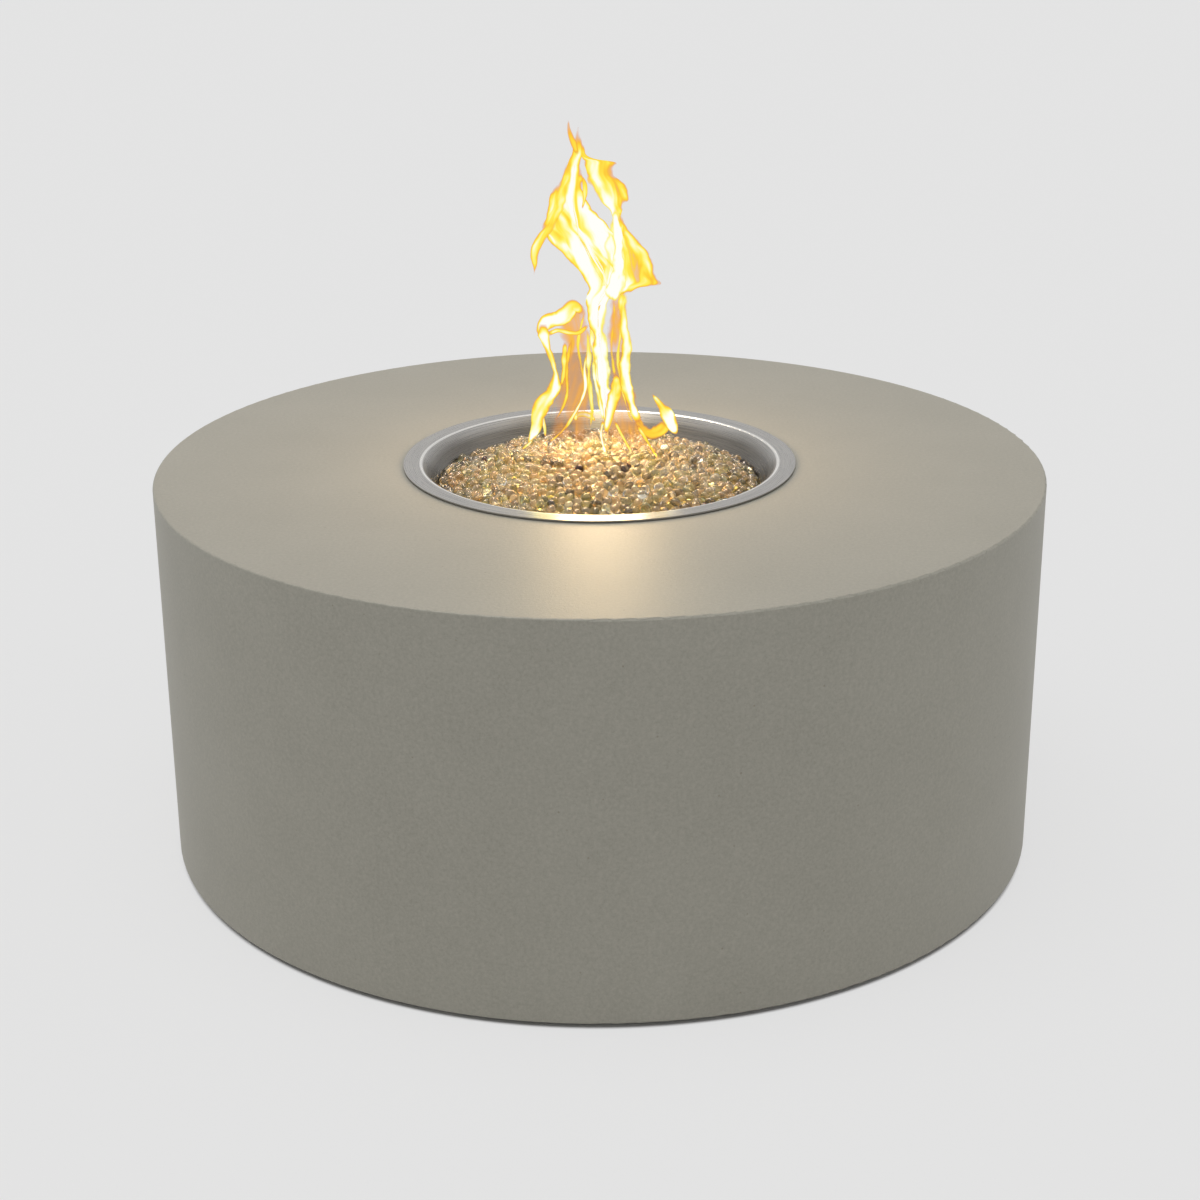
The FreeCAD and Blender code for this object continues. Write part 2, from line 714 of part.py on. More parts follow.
node("burner_lock_nut", hex_nut("BurnerLockNut", upright(height="bowl_under - lock_nut_thick"),
                                "lock_nut_across", "lock_nut_thick", "nipple_radius + running_gap"))


# Elbow, air mixer and orifice under the pan, pointing at the control panel
def mixer_axis(out="0"):
    return on_wall("panel_azimuth", out, height="elbow_height")


elbow_metal = joined("ElbowMetal", [
    rod("ElbowUpright", upright(height="elbow_height - elbow_radius"), "elbow_radius",
        "elbow_top - elbow_height + elbow_radius"),
    rod("ElbowArm", mixer_axis(), "elbow_radius", "elbow_arm")])
elbow_bores = [
    rod("ElbowNippleBore", upright(height="elbow_height + nipple_bore"), "nipple_radius + running_gap",
        "elbow_socket"),
    rod("ElbowDrop", upright(height="elbow_height - nipple_bore"), "nipple_bore", "elbow_socket + nipple_bore"),
    rod("ElbowArmBore", mixer_axis("elbow_arm - elbow_socket"), "nipple_radius + running_gap", "elbow_socket"),
    rod("ElbowCross", mixer_axis(), "nipple_bore - slack_gap", "elbow_arm")]
node("burner_elbow", less("BurnerElbow", elbow_metal, elbow_bores))

mixer = turned("AirMixer", [
    ("nipple_bore", "mixer_start"), ("nipple_radius", "mixer_start"), ("nipple_radius", "elbow_arm"),
    ("mixer_radius", "elbow_arm"), ("mixer_radius", "mixer_end"), ("nipple_bore", "mixer_end")], mixer_axis())
drilled(mixer, "XZ_Plane", "mixer_window", ("0", "(elbow_arm + orifice_start) / 2"))
drilled(mixer, "YZ_Plane", "mixer_window", ("0", "(elbow_arm + orifice_start) / 2"))
node("air_mixer", mixer)

orifice_body = joined("OrificeBody", [
    bar("OrificeTip", mixer_axis(), "nipple_bore - running_gap", "orifice_start", "mixer_end"),
    hexagon("OrificeHex", mixer_axis("mixer_end"), "orifice_hex_across", "orifice_hex_thick"),
    bar("OrificeFlare", mixer_axis(), "flare_radius", "orifice_hex_end", "orifice_end")])
orifice_bores = [
    bar("OrificeJet", mixer_axis(), "orifice_bore", "orifice_start", "orifice_end"),
    bar("OrificeFeed", mixer_axis(), "flare_bore", "mixer_end", "orifice_end")]
node("gas_orifice", less("GasOrifice", orifice_body, orifice_bores))


# Spark electrode and thermocouple on a small plate, under a vented hood that keeps the glass off them
def hood_place(side="0", height="0"):
    return upright("hood_out * sin(hood_azimuth) - (%s) * cos(hood_azimuth)" % side,
                   "hood_out * cos(hood_azimuth) + (%s) * sin(hood_azimuth)" % side, height, "90 - hood_azimuth")


hood = turned("IgniterHood", [
    ("0", "hood_tall"), ("hood_radius", "hood_tall"), ("hood_radius", "hood_wall"),
    ("hood_flange_radius", "hood_wall"), ("hood_flange_radius", "0"), ("hood_radius - hood_wall", "0"),
    ("hood_radius - hood_wall", "hood_tall - hood_wall"), ("0", "hood_tall - hood_wall")],
    hood_place(height="bowl_floor"))
drilled(hood, "XY_Plane", "hood_vent_radius / 2", ("hood_radius / 2", "0"), "hood_vent_count")
hood_vents = []
for number in range(int(worth("hood_vent_count"))):
    turn = "%d * 360 / hood_vent_count" % number
    place = "placement(%s; %s)" % ("vector(hood_out * sin(hood_azimuth); hood_out * cos(hood_azimuth); "
                                   "bowl_floor + hood_tall / 2)", facing(turn))
    hood_vents.append(rod("HoodVent", place, "hood_vent_radius", "hood_flange_radius"))
node("igniter_hood", less("IgniterHoodVented", hood, hood_vents))

probe_plate = solid("Box", "ProbePlateBlank",
                    upright("hood_out * sin(hood_azimuth) - probe_plate_wide / 2 * sin(hood_azimuth)"
                            " - probe_plate_long / 2 * cos(hood_azimuth)",
                            "hood_out * cos(hood_azimuth) - probe_plate_wide / 2 * cos(hood_azimuth)"
                            " - probe_plate_long / 2 * sin(hood_azimuth)", "bowl_floor", "90 - hood_azimuth"),
                    Length="probe_plate_wide", Width="probe_plate_long", Height="probe_plate_thick")
plate_holes = [rod("PlateHole", hood_place(side, "bowl_floor"), name + "_radius + hole_gap", "probe_plate_thick")
               for name, side in probe_spots.items()]
node("probe_plate", less("ProbePlate", probe_plate, plate_holes))

node("spark_electrode", turned("SparkElectrode", [
    ("0", "ceramic_bottom"), ("ceramic_radius", "ceramic_bottom"), ("ceramic_radius", "ceramic_top"),
    ("electrode_tip_radius", "ceramic_top"), ("electrode_tip_radius", "ceramic_top + electrode_tip_rise"),
    ("0", "ceramic_top + electrode_tip_rise")], hood_place("-probe_side")))
thermocouple = bar("ThermocoupleProbe", hood_place("probe_side"), "thermocouple_radius", "thermocouple_bottom",
                   "bowl_floor + thermocouple_rise")
node("thermocouple_probe", rounded(thermocouple, "thermocouple_radius", "bowl_floor + thermocouple_rise",
                                   "thermocouple_radius / 2"))


# Fire glass: the bed fills the pan round the burner and rises to a low crown, its top heaped in rings of round lumps
glass_blank = turned("GlassBlank", [
    ("0", "bowl_floor"), ("bowl_floor_radius - glass_setback", "bowl_floor"),
    ("bowl_mouth_radius - glass_setback", "flange_top"),
    ("bowl_mouth_radius - glass_setback", "glass_crown + glass_lump_rise"), ("0", "glass_crown + glass_lump_rise")])
rounded(glass_blank, "bowl_floor_radius - glass_setback", "bowl_floor", "bowl_corner_round + seat_gap")
glass_ball = solid("Sphere", "GlassBall", upright(height="glass_bed_top - glass_ball"), Radius="glass_ball")
glass_lumps = []
for ring in range(GLASS_RINGS + 1):
    lean = "(%d * glass_lump_pitch / glass_ball * 180 / pi)" % ring
    lumps_in_ring = max(1, GLASS_RING_LUMPS * ring)
    for lump in range(lumps_in_ring):
        turn = 360 * lump / lumps_in_ring + GLASS_RING_TWIST * ring
        place = "placement(%s; rotation(0; 0; 0))" % spot(
            turn, "glass_lump_shell * sin(%s)" % lean,
            height="glass_bed_top - glass_ball + glass_lump_shell * cos(%s)" % lean)
        glass_lumps.append(solid("Sphere", "GlassLump", place, Radius="glass_lump_radius"))
glass_heap = joined("GlassHeap", [glass_ball] + glass_lumps)
glass_room = burner_skeleton("GlassRoom", "burner_tube_radius + seat_gap", "hub_radius + seat_gap", "bowl_floor",
                             "burner_height + hub_radius + seat_gap")
glass_hood = rod("GlassHood", hood_place(height="bowl_floor"), "hood_flange_radius + seat_gap", "hood_tall + seat_gap")
node("fire_glass", less("FireGlass", shared("GlassBed", glass_blank, glass_heap), [glass_room, glass_hood]))


# Control panel: a plate on the recess's lip, with holes for the valve neck, the igniter and four screws
def panel_place(out="0", side="0", rise="0"):
    return on_wall("panel_azimuth", out, side, "panel_height + (%s)" % rise)


panel_blank = wall_block("PanelBlank", "panel_azimuth", "panel_back_out", "panel_thick",
                         "panel_half_wide - slack_gap", "panel_height - panel_half_tall + slack_gap",
                         "2 * (panel_half_tall - slack_gap)")
panel_holes = [
    rod("NeckHole", panel_place("panel_back_out", "valve_side"), "valve_neck_radius + hole_gap", "panel_thick"),
    rod("IgniterHole", panel_place("panel_back_out", "igniter_side"), "igniter_barrel_radius + hole_gap",
        "panel_thick")]
panel_screws = []
for side, rise in panel_screw_spots:
    panel_holes.append(rod("PanelScrewHole", panel_place("panel_back_out", side, rise),
                           "panel_screw_radius + hole_gap", "panel_thick"))
    panel_screws.append(screw("PanelScrew", panel_place("panel_face_out", side, rise), "panel_screw_radius",
                              "panel_screw_long", "panel_head_radius", "panel_head_thick"))
node("control_panel", less("ControlPanel", panel_blank, panel_holes))
node("panel_screws", joined("PanelScrews", panel_screws))


# Gas valve: body with neck, outlet, inlet and thermocouple port; plug, stem and knob turn in it
def valve_place(out="0", rise="0"):
    return panel_place(out, "valve_side", rise)


valve_metal = joined("ValveMetal", [
    wall_block("ValveBlock", "panel_azimuth", "valve_back", "valve_deep", "valve_half_wide",
               "panel_height - valve_half_wide", "2 * valve_half_wide", "valve_side"),
    rod("ValveNeck", valve_place("valve_front"), "valve_neck_radius", "neck_end - valve_front"),
    rod("ValveShoulder", valve_place("valve_front"), "valve_neck_radius + valve_stem_radius",
        "panel_back_out - valve_front"),
    rod("ValveOutlet", valve_place("valve_outlet"), "flare_radius", "flare_long"),
    rod("ValveInlet", "placement(%s; rotation(0; 0; 0))" % spot("panel_azimuth", "valve_inlet_out", "valve_side",
                                                                "valve_inlet_height"),
        "flare_radius", "flare_long"),
    rod("ValvePort", on_wall("panel_azimuth", "port_end", "port_side", "port_height"), "thermocouple_port_radius",
        "thermocouple_port_long")])
valve_bores = [
    rod("PlugBore", valve_place("plug_bottom - slack_gap"), "valve_plug_radius + running_gap", "valve_bore_deep"),
    rod("OutletBore", valve_place("valve_outlet"), "flare_bore - running_gap", "flare_long"),
    rod("InletBore", "placement(%s; rotation(0; 0; 0))" % spot("panel_azimuth", "valve_inlet_out", "valve_side",
                                                               "valve_inlet_height"),
        "flare_bore - running_gap", "flare_long")]
node("gas_valve", less("GasValve", valve_metal, valve_bores))
node("valve_neck_nut", hex_nut("ValveNeckNut", valve_place("panel_face_out"), "neck_nut_across", "neck_nut_thick",
                               "valve_neck_radius + running_gap"))

node("valve_plug", turned("ValvePlug", [
    ("0", "plug_bottom"), ("valve_plug_radius", "plug_bottom"), ("valve_plug_radius", "neck_end"),
    ("valve_stem_radius + running_gap", "neck_end"), ("valve_stem_radius + running_gap", "plug_socket"),
    ("0", "plug_socket")], valve_place()))
node("valve_stem", bar("ValveStem", valve_place(), "valve_stem_radius", "stem_bottom", "stem_top"))

knob_skirt = turned("KnobSkirt", [
    ("valve_stem_radius + running_gap", "knob_back"), ("knob_radius", "knob_back"),
    ("knob_radius", "knob_back + knob_base_thick"), ("0", "knob_back + knob_base_thick"),
    ("0", "knob_back + knob_base_thick / 2"),
    ("valve_stem_radius + running_gap", "knob_back + knob_base_thick / 2")], valve_place())
rounded(knob_skirt, "knob_radius", "knob_back + knob_base_thick", "knob_edge_round")
grip_wide = "sqrt(knob_radius^2 - knob_bar_wide^2 / 4) - knob_edge_round"
knob_bar = wall_block("KnobBar", "panel_azimuth", "knob_back + knob_base_thick / 2", "knob_tall - knob_base_thick / 2",
                      "knob_bar_wide / 2", "panel_height - (%s)" % grip_wide, "2 * (%s)" % grip_wide, "valve_side")
knob_bore = rod("KnobBore", valve_place("knob_back"), "valve_stem_radius + running_gap",
                "stem_top + slack_gap - knob_back")
node("control_knob", less("ControlKnob", joined("KnobBody", [knob_skirt, knob_bar]), [knob_bore]))


# Igniter: housing with a battery, spring and push button, held by a nut behind the panel
def igniter_place(out="0"):
    return panel_place(out, "igniter_side")


node("igniter_housing", turned("IgniterHousing", [
    ("0", "igniter_back"), ("igniter_barrel_radius", "igniter_back"), ("igniter_barrel_radius", "panel_face_out"),
    ("igniter_flange_radius", "panel_face_out"), ("igniter_flange_radius", "igniter_front"),
    ("button_radius + running_gap", "igniter_front"), ("button_radius + running_gap", "button_stop"),
    ("battery_radius + seat_gap", "button_stop"), ("battery_radius + seat_gap", "igniter_back + igniter_back_wall"),
    ("0", "igniter_back + igniter_back_wall")], igniter_place()))
button = bar("IgniterButton", igniter_place(), "button_radius", "button_back", "button_front")
node("igniter_button", rounded(button, "button_radius", "button_front", "button_edge_round"))
node("igniter_battery", bar("IgniterBattery", igniter_place(), "battery_radius", "battery_back", "battery_front"))
node("igniter_spring", sleeve("IgniterSpring", igniter_place(), "spring_radius - spring_wire", "spring_radius",
                              "battery_front + seat_gap", "button_back - button_travel - seat_gap"))
node("igniter_nut", hex_nut("IgniterNut", igniter_place("panel_back_out - igniter_nut_thick"), "igniter_nut_across",
                            "igniter_nut_thick", "igniter_barrel_radius + running_gap"))


# Gas inlet: a fitting through the wall between two washers, its lock nut, and an elbow inside
def inlet_place(out="0", side="0"):
    return on_wall("inlet_azimuth", out, side, "inlet_height")


inlet_metal = joined("InletMetal", [
    bar("InletBarrel", inlet_place(), "inlet_barrel_radius", "inlet_inner_end", "inlet_hex_out"),
    hexagon("InletHex", inlet_place("inlet_hex_out"), "inlet_hex_across", "inlet_hex_thick"),
    bar("InletFlare", inlet_place(), "flare_radius", "inlet_flare_out", "inlet_tip")])
inlet_bore = bar("InletBore", inlet_place(), "flare_bore", "inlet_inner_end", "inlet_tip")
node("inlet_fitting", less("InletFitting", inlet_metal, [inlet_bore]))
washer_hole = "inlet_barrel_radius + hole_gap"
node("inlet_washers", joined("InletWashers", [
    sleeve("InletWasherOuter", inlet_place(), washer_hole, "inlet_washer_radius", "inlet_washer_out", "inlet_hex_out"),
    sleeve("InletWasherInner", inlet_place(), washer_hole, "inlet_washer_radius", "inlet_inner_washer - seat_gap",
           "inlet_inner_washer + inlet_washer_thick - seat_gap")]))
node("inlet_lock_nut", hex_nut("InletLockNut", inlet_place("inlet_nut_out - seat_gap"), "inlet_nut_across",
                               "inlet_nut_thick", "inlet_barrel_radius + running_gap"))
elbow_side_place = "placement(%s; rotation(-(inlet_azimuth); 90; 0))" % spot(
    "inlet_azimuth", "inlet_elbow_out", "0", "inlet_height")
inlet_elbow_metal = joined("InletElbowMetal", [
    rod("InletElbowSocket", inlet_place("inlet_elbow_out - inlet_elbow_radius"), "inlet_elbow_radius",
        "2 * inlet_elbow_radius + inlet_reach - seat_gap"),
    rod("InletElbowArm", elbow_side_place, "inlet_elbow_radius - slack_gap", "inlet_elbow_arm"),
    rod("InletElbowFlare", elbow_side_place, "flare_radius", "inlet_elbow_end")])
inlet_elbow_bores = [
    rod("InletElbowSeat", inlet_place("inlet_inner_end"), "inlet_barrel_radius + running_gap", "inlet_reach"),
    rod("InletElbowIn", inlet_place("inlet_elbow_out - flare_bore"), "flare_bore",
        "inlet_elbow_radius + flare_bore"),
    rod("InletElbowOut", elbow_side_place, "flare_bore - slack_gap", "inlet_elbow_end")]
node("inlet_elbow", less("InletElbow", inlet_elbow_metal, inlet_elbow_bores))


# Flare nuts: each one holds a hose's end against a flare, the hose leaving along its place's Z axis
flare_ends = [
    "placement(%s; %s)" % (spot("panel_azimuth", "valve_outlet", "valve_side", "panel_height"),
                           facing("panel_azimuth + 180")),
    mixer_axis("orifice_end"),
    "placement(%s; rotation(-(inlet_azimuth); 90; 0))" % spot(
        "inlet_azimuth", "inlet_elbow_out", "-(inlet_elbow_end)", "inlet_height"),
    "placement(%s; rotation(0; 180; 0))" % spot("panel_azimuth", "valve_inlet_out", "valve_side",
                                                "valve_inlet_height")]
flare_nuts = []
for place in flare_ends:
    along = "%s * placement(vector(0; 0; %s); rotation(0; 0; 0))"
    back = along % (place, "-flare_nut_grip")
    blank = hexagon("FlareNutHex", back, "flare_nut_across", "flare_nut_grip + flare_nut_neck")
    grip = rod("FlareNutGrip", back, "flare_radius + running_gap", "flare_nut_grip")
    neck = rod("FlareNutNeck", place, "hose_radius + hole_gap", "flare_nut_neck")
    flare_nuts.append(less("FlareNut", blank, [grip, neck]))
node("flare_nuts", joined("FlareNuts", flare_nuts))


# Hoses and leads inside the table: straight runs joined by tangent arcs
def wall_point(azimuth, out, side, height):
    """World point from texts: azimuth, distance out from the axis, side along the wall, and height."""
    turn = math.radians(worth(azimuth))
    reach, shift = worth(out), worth(side)
    return FreeCAD.Vector(reach * math.sin(turn) - shift * math.cos(turn),
                          reach * math.cos(turn) + shift * math.sin(turn), worth(height))


def tube_along(name, points, radius):
    """A round tube along the points, each arc as large as its two runs allow."""
    edges, radii = [], []
    start = points[0]
    for before, corner, after in zip(points, points[1:], points[2:]):
        back, ahead = before - corner, after - corner
        half_turn = (math.pi - back.getAngle(ahead)) / 2
        trim = ARC_SHARE * min(back.Length, ahead.Length)
        bend = trim / math.tan(half_turn)
        back.normalize()
        ahead.normalize()
        towards = back + ahead
        towards.normalize()
        first, last = corner + back * trim, corner + ahead * trim
        middle = corner + towards * (bend / math.cos(half_turn) - bend)
        edges += [Part.LineSegment(start, first).toShape(), Part.Arc(first, middle, last).toShape()]
        radii.append(bend)
        start = last
    edges.append(Part.LineSegment(start, points[-1]).toShape())
    path = Part.Wire(edges)
    ring = Part.Wire(Part.Circle(points[0], points[1] - points[0], radius).toShape())
    tube = path.makePipeShell([ring], True, False)
    print("%s: length %.1f, least radius %.1f, volume share %.4f" % (
        name, path.Length, min(radii), tube.Volume / (math.pi * radius ** 2 * path.Length)))
    item = doc.addObject("Part::Feature", name)
    item.Shape = tube
    return node(name, item)


# From the valve's outlet to the orifice, sagging a little between them
burner_hose_route = [
    wall_point("panel_azimuth", out, side, height) for out, side, height in (
        ("valve_outlet - seat_gap", "valve_side", "panel_height"),
        ("valve_outlet - 52", "valve_side", "panel_height"),
        ("valve_outlet - 106", "valve_side * 0.88", "panel_height - 10"),
        ("orifice_end + 146", "valve_side * 0.6", "panel_height - 8"),
        ("orifice_end + 98", "valve_side * 0.3", "elbow_height - 25"),
        ("orifice_end + 50", "0", "elbow_height"),
        ("orifice_end + seat_gap", "0", "elbow_height"))]
tube_along("burner_hose", burner_hose_route, worth("hose_radius"))

# From the inlet's elbow down to the ledge, along it behind the door, and up to the valve's inlet
lane = "wall_inside - hose_radius - 16"
riser = wall_point("panel_azimuth", "valve_inlet_out", "valve_side", "valve_inlet_height")
riser_azimuth = str(math.degrees(math.atan2(riser.x, riser.y)))
riser_out = str(math.hypot(riser.x, riser.y))
supply_route = [
    wall_point("inlet_azimuth", "inlet_elbow_out", "-(inlet_elbow_end + seat_gap)", "inlet_height"),
    wall_point("inlet_azimuth", "inlet_elbow_out", "-(inlet_elbow_end + 34)", "inlet_height"),
    wall_point("inlet_azimuth + 13", lane, "0", "hose_on_ledge + 13"),
    wall_point("inlet_azimuth + 20", lane, "0", "hose_on_ledge"),
    wall_point("inlet_azimuth + 31", lane, "0", "hose_on_ledge"),
    wall_point("0", lane, "0", "hose_on_ledge"),
    wall_point("panel_azimuth - 31", lane, "0", "hose_on_ledge"),
    wall_point("panel_azimuth - 20", lane, "0", "hose_on_ledge"),
    wall_point("panel_azimuth - 13", lane + " - 1", "0", "hose_on_ledge + 1"),
    wall_point("panel_azimuth - 7", lane + " - 8", "0", "hose_on_ledge + 24"),
    wall_point(riser_azimuth, riser_out, "0", "hose_on_ledge + 70"),
    wall_point(riser_azimuth, riser_out, "0.8", "valve_inlet_height - 90"),
    wall_point(riser_azimuth, riser_out, "0", "valve_inlet_height - seat_gap")]
tube_along("supply_hose", supply_route, worth("hose_radius"))

# From the spark electrode to the back of the igniter
ignition_route = [
    wall_point("hood_azimuth", "hood_out", "-probe_side", "ceramic_bottom - seat_gap"),
    wall_point("hood_azimuth", "hood_out", "-probe_side", "ceramic_bottom - 26"),
    wall_point("hood_azimuth", "hood_out + 14", "-probe_side + 7", "ceramic_bottom - 48"),
    wall_point("panel_azimuth + 37", "hood_out + 54", "0", "panel_height - 8"),
    wall_point("panel_azimuth + 24", "hood_out + 118", "0", "panel_height - 20"),
    wall_point("panel_azimuth + 13", "hood_out + 196", "0", "panel_height - 24"),
    wall_point("panel_azimuth", "igniter_back - 72", "igniter_side", "panel_height - 8"),
    wall_point("panel_azimuth", "igniter_back - 30", "igniter_side", "panel_height"),
    wall_point("panel_azimuth", "igniter_back - seat_gap", "igniter_side", "panel_height")]
tube_along("ignition_lead", ignition_route, worth("ignition_lead_radius"))

# From the thermocouple to its port on the valve
thermocouple_route = [
    wall_point("hood_azimuth", "hood_out", "probe_side", "thermocouple_bottom - seat_gap"),
    wall_point("hood_azimuth", "hood_out", "probe_side", "thermocouple_bottom - 28"),
    wall_point("hood_azimuth", "hood_out + 10", "probe_side + 7", "thermocouple_bottom - 52"),
    wall_point("panel_azimuth + 31", "hood_out + 56", "0", "panel_height - 24"),
    wall_point("panel_azimuth + 20", "hood_out + 128", "0", "panel_height - 42"),
    wall_point("panel_azimuth + 10", "hood_out + 206", "0", "panel_height - 48"),
    wall_point("panel_azimuth", "port_end - 60", "port_side - 8", "panel_height - 34"),
    wall_point("panel_azimuth", "port_end - 26", "port_side", "port_height"),
    wall_point("panel_azimuth", "port_end - seat_gap", "port_side", "port_height")]
tube_along("thermocouple_lead", thermocouple_route, worth("thermocouple_lead_radius"))


# Door frame: a curved stop behind the leaf and a jamb that lines the opening, screwed to the wall from inside
frame_low = "door_height - frame_lap"
frame_tall = "door_tall + 2 * frame_lap"
stop_band = wall_shell("StopBand", "stop_inside", "stop_outside", frame_low, frame_tall)
stop_limit = wall_block("StopLimit", "0", through_start, through_long, "frame_half_wide", frame_low, frame_tall)
stop_hole = wall_block("StopHole", "0", through_start, through_long, "stop_half_wide", "leaf_height + stop_lap",
                       "leaf_top - leaf_height - 2 * stop_lap")
jamb_band = wall_shell("JambBand", "stop_inside", "jamb_outside", "door_height", "door_tall")
jamb_limit = wall_block("JambLimit", "0", through_start, through_long, "door_half_wide", "door_height", "door_tall")
jamb_hole = wall_block("JambHole", "0", through_start, through_long, "jamb_half_wide", "door_height + jamb_thick",
                       "door_tall - 2 * jamb_thick")
frame_stop = less("FrameStop", shared("StopPlate", stop_band, stop_limit), [stop_hole])
frame_jamb = less("FrameJamb", shared("JambPlate", jamb_band, jamb_limit), [jamb_hole])
frame_holes = []
frame_screws = []
for turn, height in frame_screw_spots:
    frame_holes.append(rod("FrameHole", on_wall(turn, "stop_inside - slack_gap", height=height),
                           "frame_screw_radius + hole_gap", "frame_sheet + 2 * slack_gap"))
    place = "placement(%s; %s)" % (spot(turn, "stop_inside - seat_gap", height=height), facing(turn + " + 180"))
    frame_screws.append(screw("FrameScrew", place, "frame_screw_radius", "frame_screw_reach", "frame_head_radius",
                              "frame_head_thick"))
node("door_frame", less("DoorFrame", joined("FrameMetal", [frame_stop, frame_jamb]), frame_holes))
node("frame_screws", joined("FrameScrews", frame_screws))


# Door leaf: a curved tray, its face flush with the wall and its back edges clear of the stop they swing past
def leaf_block(label, inset):
    return wall_block(label, "0", through_start, through_long, "leaf_half_wide - (%s)" % inset,
                      "leaf_height + (%s)" % inset, "leaf_top - leaf_height - 2 * (%s)" % inset)


leaf_band = wall_shell("LeafBand", "leaf_inside", "shell_radius", "door_height", "door_tall")
leaf_solid = shared("LeafSolid", leaf_band, leaf_block("LeafLimit", "0"))
tray_core = rod("TrayCore", upright(height="door_height"), "skin_inside", "door_tall")
tray_room = shared("TrayRoom", tray_core, leaf_block("TrayLimit", "door_skin"))
latch_hole = rod("LatchHole", on_wall("latch_azimuth", "skin_inside - slack_gap", height="latch_height"),
                 "latch_barrel_radius + seat_gap", "door_skin + 2 * slack_gap")
node("door_leaf", less("DoorLeaf", leaf_solid, [tray_room, latch_hole]))


# Hinges: butt hinges in the gap beside the leaf, their barrels just proud of the wall
def hinge_leaf(label, middle, towards, knuckles):
    """One leaf of a hinge: a plate beside the axis and its knuckles, towards -1 for the frame and 1 for the door."""
    axis_x, axis_y = "-hinge_side", "hinge_out"
    near = "hinge_slit" if towards > 0 else "-hinge_slit - hinge_leaf"
    plate = solid("Box", label + "Plate",
                  upright("%s + %s" % (axis_x, near), "%s - hinge_leaf_wide" % axis_y,
                          "%s - hinge_half_tall" % middle),
                  Length="hinge_leaf", Width="hinge_leaf_wide - hinge_near", Height="2 * hinge_half_tall")
    parts = [plate]
    for low in knuckles:
        height = "%s - hinge_half_tall + %s * knuckle_tall + running_gap" % (middle, low)
        parts.append(rod(label + "Knuckle", upright(axis_x, axis_y, height), "hinge_barrel_radius",
                         "knuckle_tall - 2 * running_gap"))
        parts.append(solid("Box", label + "Tab",
                           upright("%s + %s" % (axis_x, near), "%s - hinge_near" % axis_y, height),
                           Length="hinge_leaf", Width="hinge_near - hinge_pin_radius",
                           Height="knuckle_tall - 2 * running_gap"))
    bore = rod(label + "Bore", upright(axis_x, axis_y, "%s - hinge_half_tall" % middle),
               "hinge_pin_radius + running_gap", "2 * hinge_half_tall")
    return less(label, joined(label + "Metal", parts), [bore])


hinge_middles = ["(door_height + hinge_inset)", "(door_top - hinge_inset)"]
frame_leaves = [hinge_leaf("HingeFrameLeaf", middle, -1, (0, 2)) for middle in hinge_middles]
door_leaves = [hinge_leaf("HingeDoorLeaf", middle, 1, (1,)) for middle in hinge_middles]
hinge_pins = [turned("HingePin", [
    ("0", "-hinge_half_tall"), ("hinge_pin_radius", "-hinge_half_tall"), ("hinge_pin_radius", "hinge_half_tall"),
    ("hinge_pin_head_radius", "hinge_half_tall"),
    ("hinge_pin_head_radius", "hinge_half_tall + hinge_pin_head_thick"),
    ("0", "hinge_half_tall + hinge_pin_head_thick")], upright("-hinge_side", "hinge_out", middle))
    for middle in hinge_middles]
node("hinge_frame_leaves", joined("HingeFrameLeaves", frame_leaves))
node("hinge_door_leaves", joined("HingeDoorLeaves", door_leaves))
node("hinge_pins", joined("HingePins", hinge_pins))


# Latch: a quarter-turn cam on the leaf; at rest the cam stands upright, clear of the frame's stop
def latch_place(out="0"):
    return on_wall("latch_azimuth", out, height="latch_height")


spindle_hole = "latch_spindle_radius + running_gap"
node("latch_housing", turned("LatchHousing", [
    (spindle_hole, "cam_front + seat_gap"), ("latch_barrel_radius", "cam_front + seat_gap"),
    ("latch_barrel_radius", "latch_flange_out"), ("latch_flange_radius", "latch_flange_out"),
    ("latch_flange_radius", "latch_face"), (spindle_hole, "latch_face")], latch_place()))
node("latch_nut", hex_nut("LatchNut", latch_place("latch_nut_front - latch_nut_thick"), "latch_nut_across",
                          "latch_nut_thick", "latch_barrel_radius + running_gap"))
knob_spindle = turned("LatchSpindle", [
    ("cam_screw_radius + running_gap", "cam_back"), ("latch_spindle_radius", "cam_back"),
    ("latch_spindle_radius", "latch_face + seat_gap"), ("latch_disc_radius", "latch_face + seat_gap"),
    ("latch_disc_radius", "latch_face + latch_disc_thick"), ("0", "latch_face + latch_disc_thick"),
    ("0", "cam_back + cam_screw_long + slack_gap"),
    ("cam_screw_radius + running_gap", "cam_back + cam_screw_long + slack_gap")], latch_place())
latch_wing = wall_block("LatchWing", "latch_azimuth", "latch_face + latch_disc_thick / 2",
                        "latch_bar_tall + latch_disc_thick / 2", "latch_bar_wide / 2",
                        "latch_height - latch_bar_long / 2", "latch_bar_long")
node("latch_knob", joined("LatchKnob", [knob_spindle, latch_wing]))
cam_blank = wall_block("CamBlank", "latch_azimuth", "cam_back", "cam_thick", "cam_half_wide",
                       "latch_height - cam_half_wide", "cam_reach + cam_half_wide")
node("latch_cam", less("LatchCam", cam_blank, [rod("CamHole", latch_place("cam_back"), spindle_hole, "cam_thick")]))
cam_screw_place = "placement(%s; %s)" % (spot("latch_azimuth", "cam_back", height="latch_height"),
                                         facing("latch_azimuth + 180"))
node("cam_screw", screw("CamScrew", cam_screw_place, "cam_screw_radius", "cam_screw_long", "cam_head_radius",
                        "cam_head_thick"))


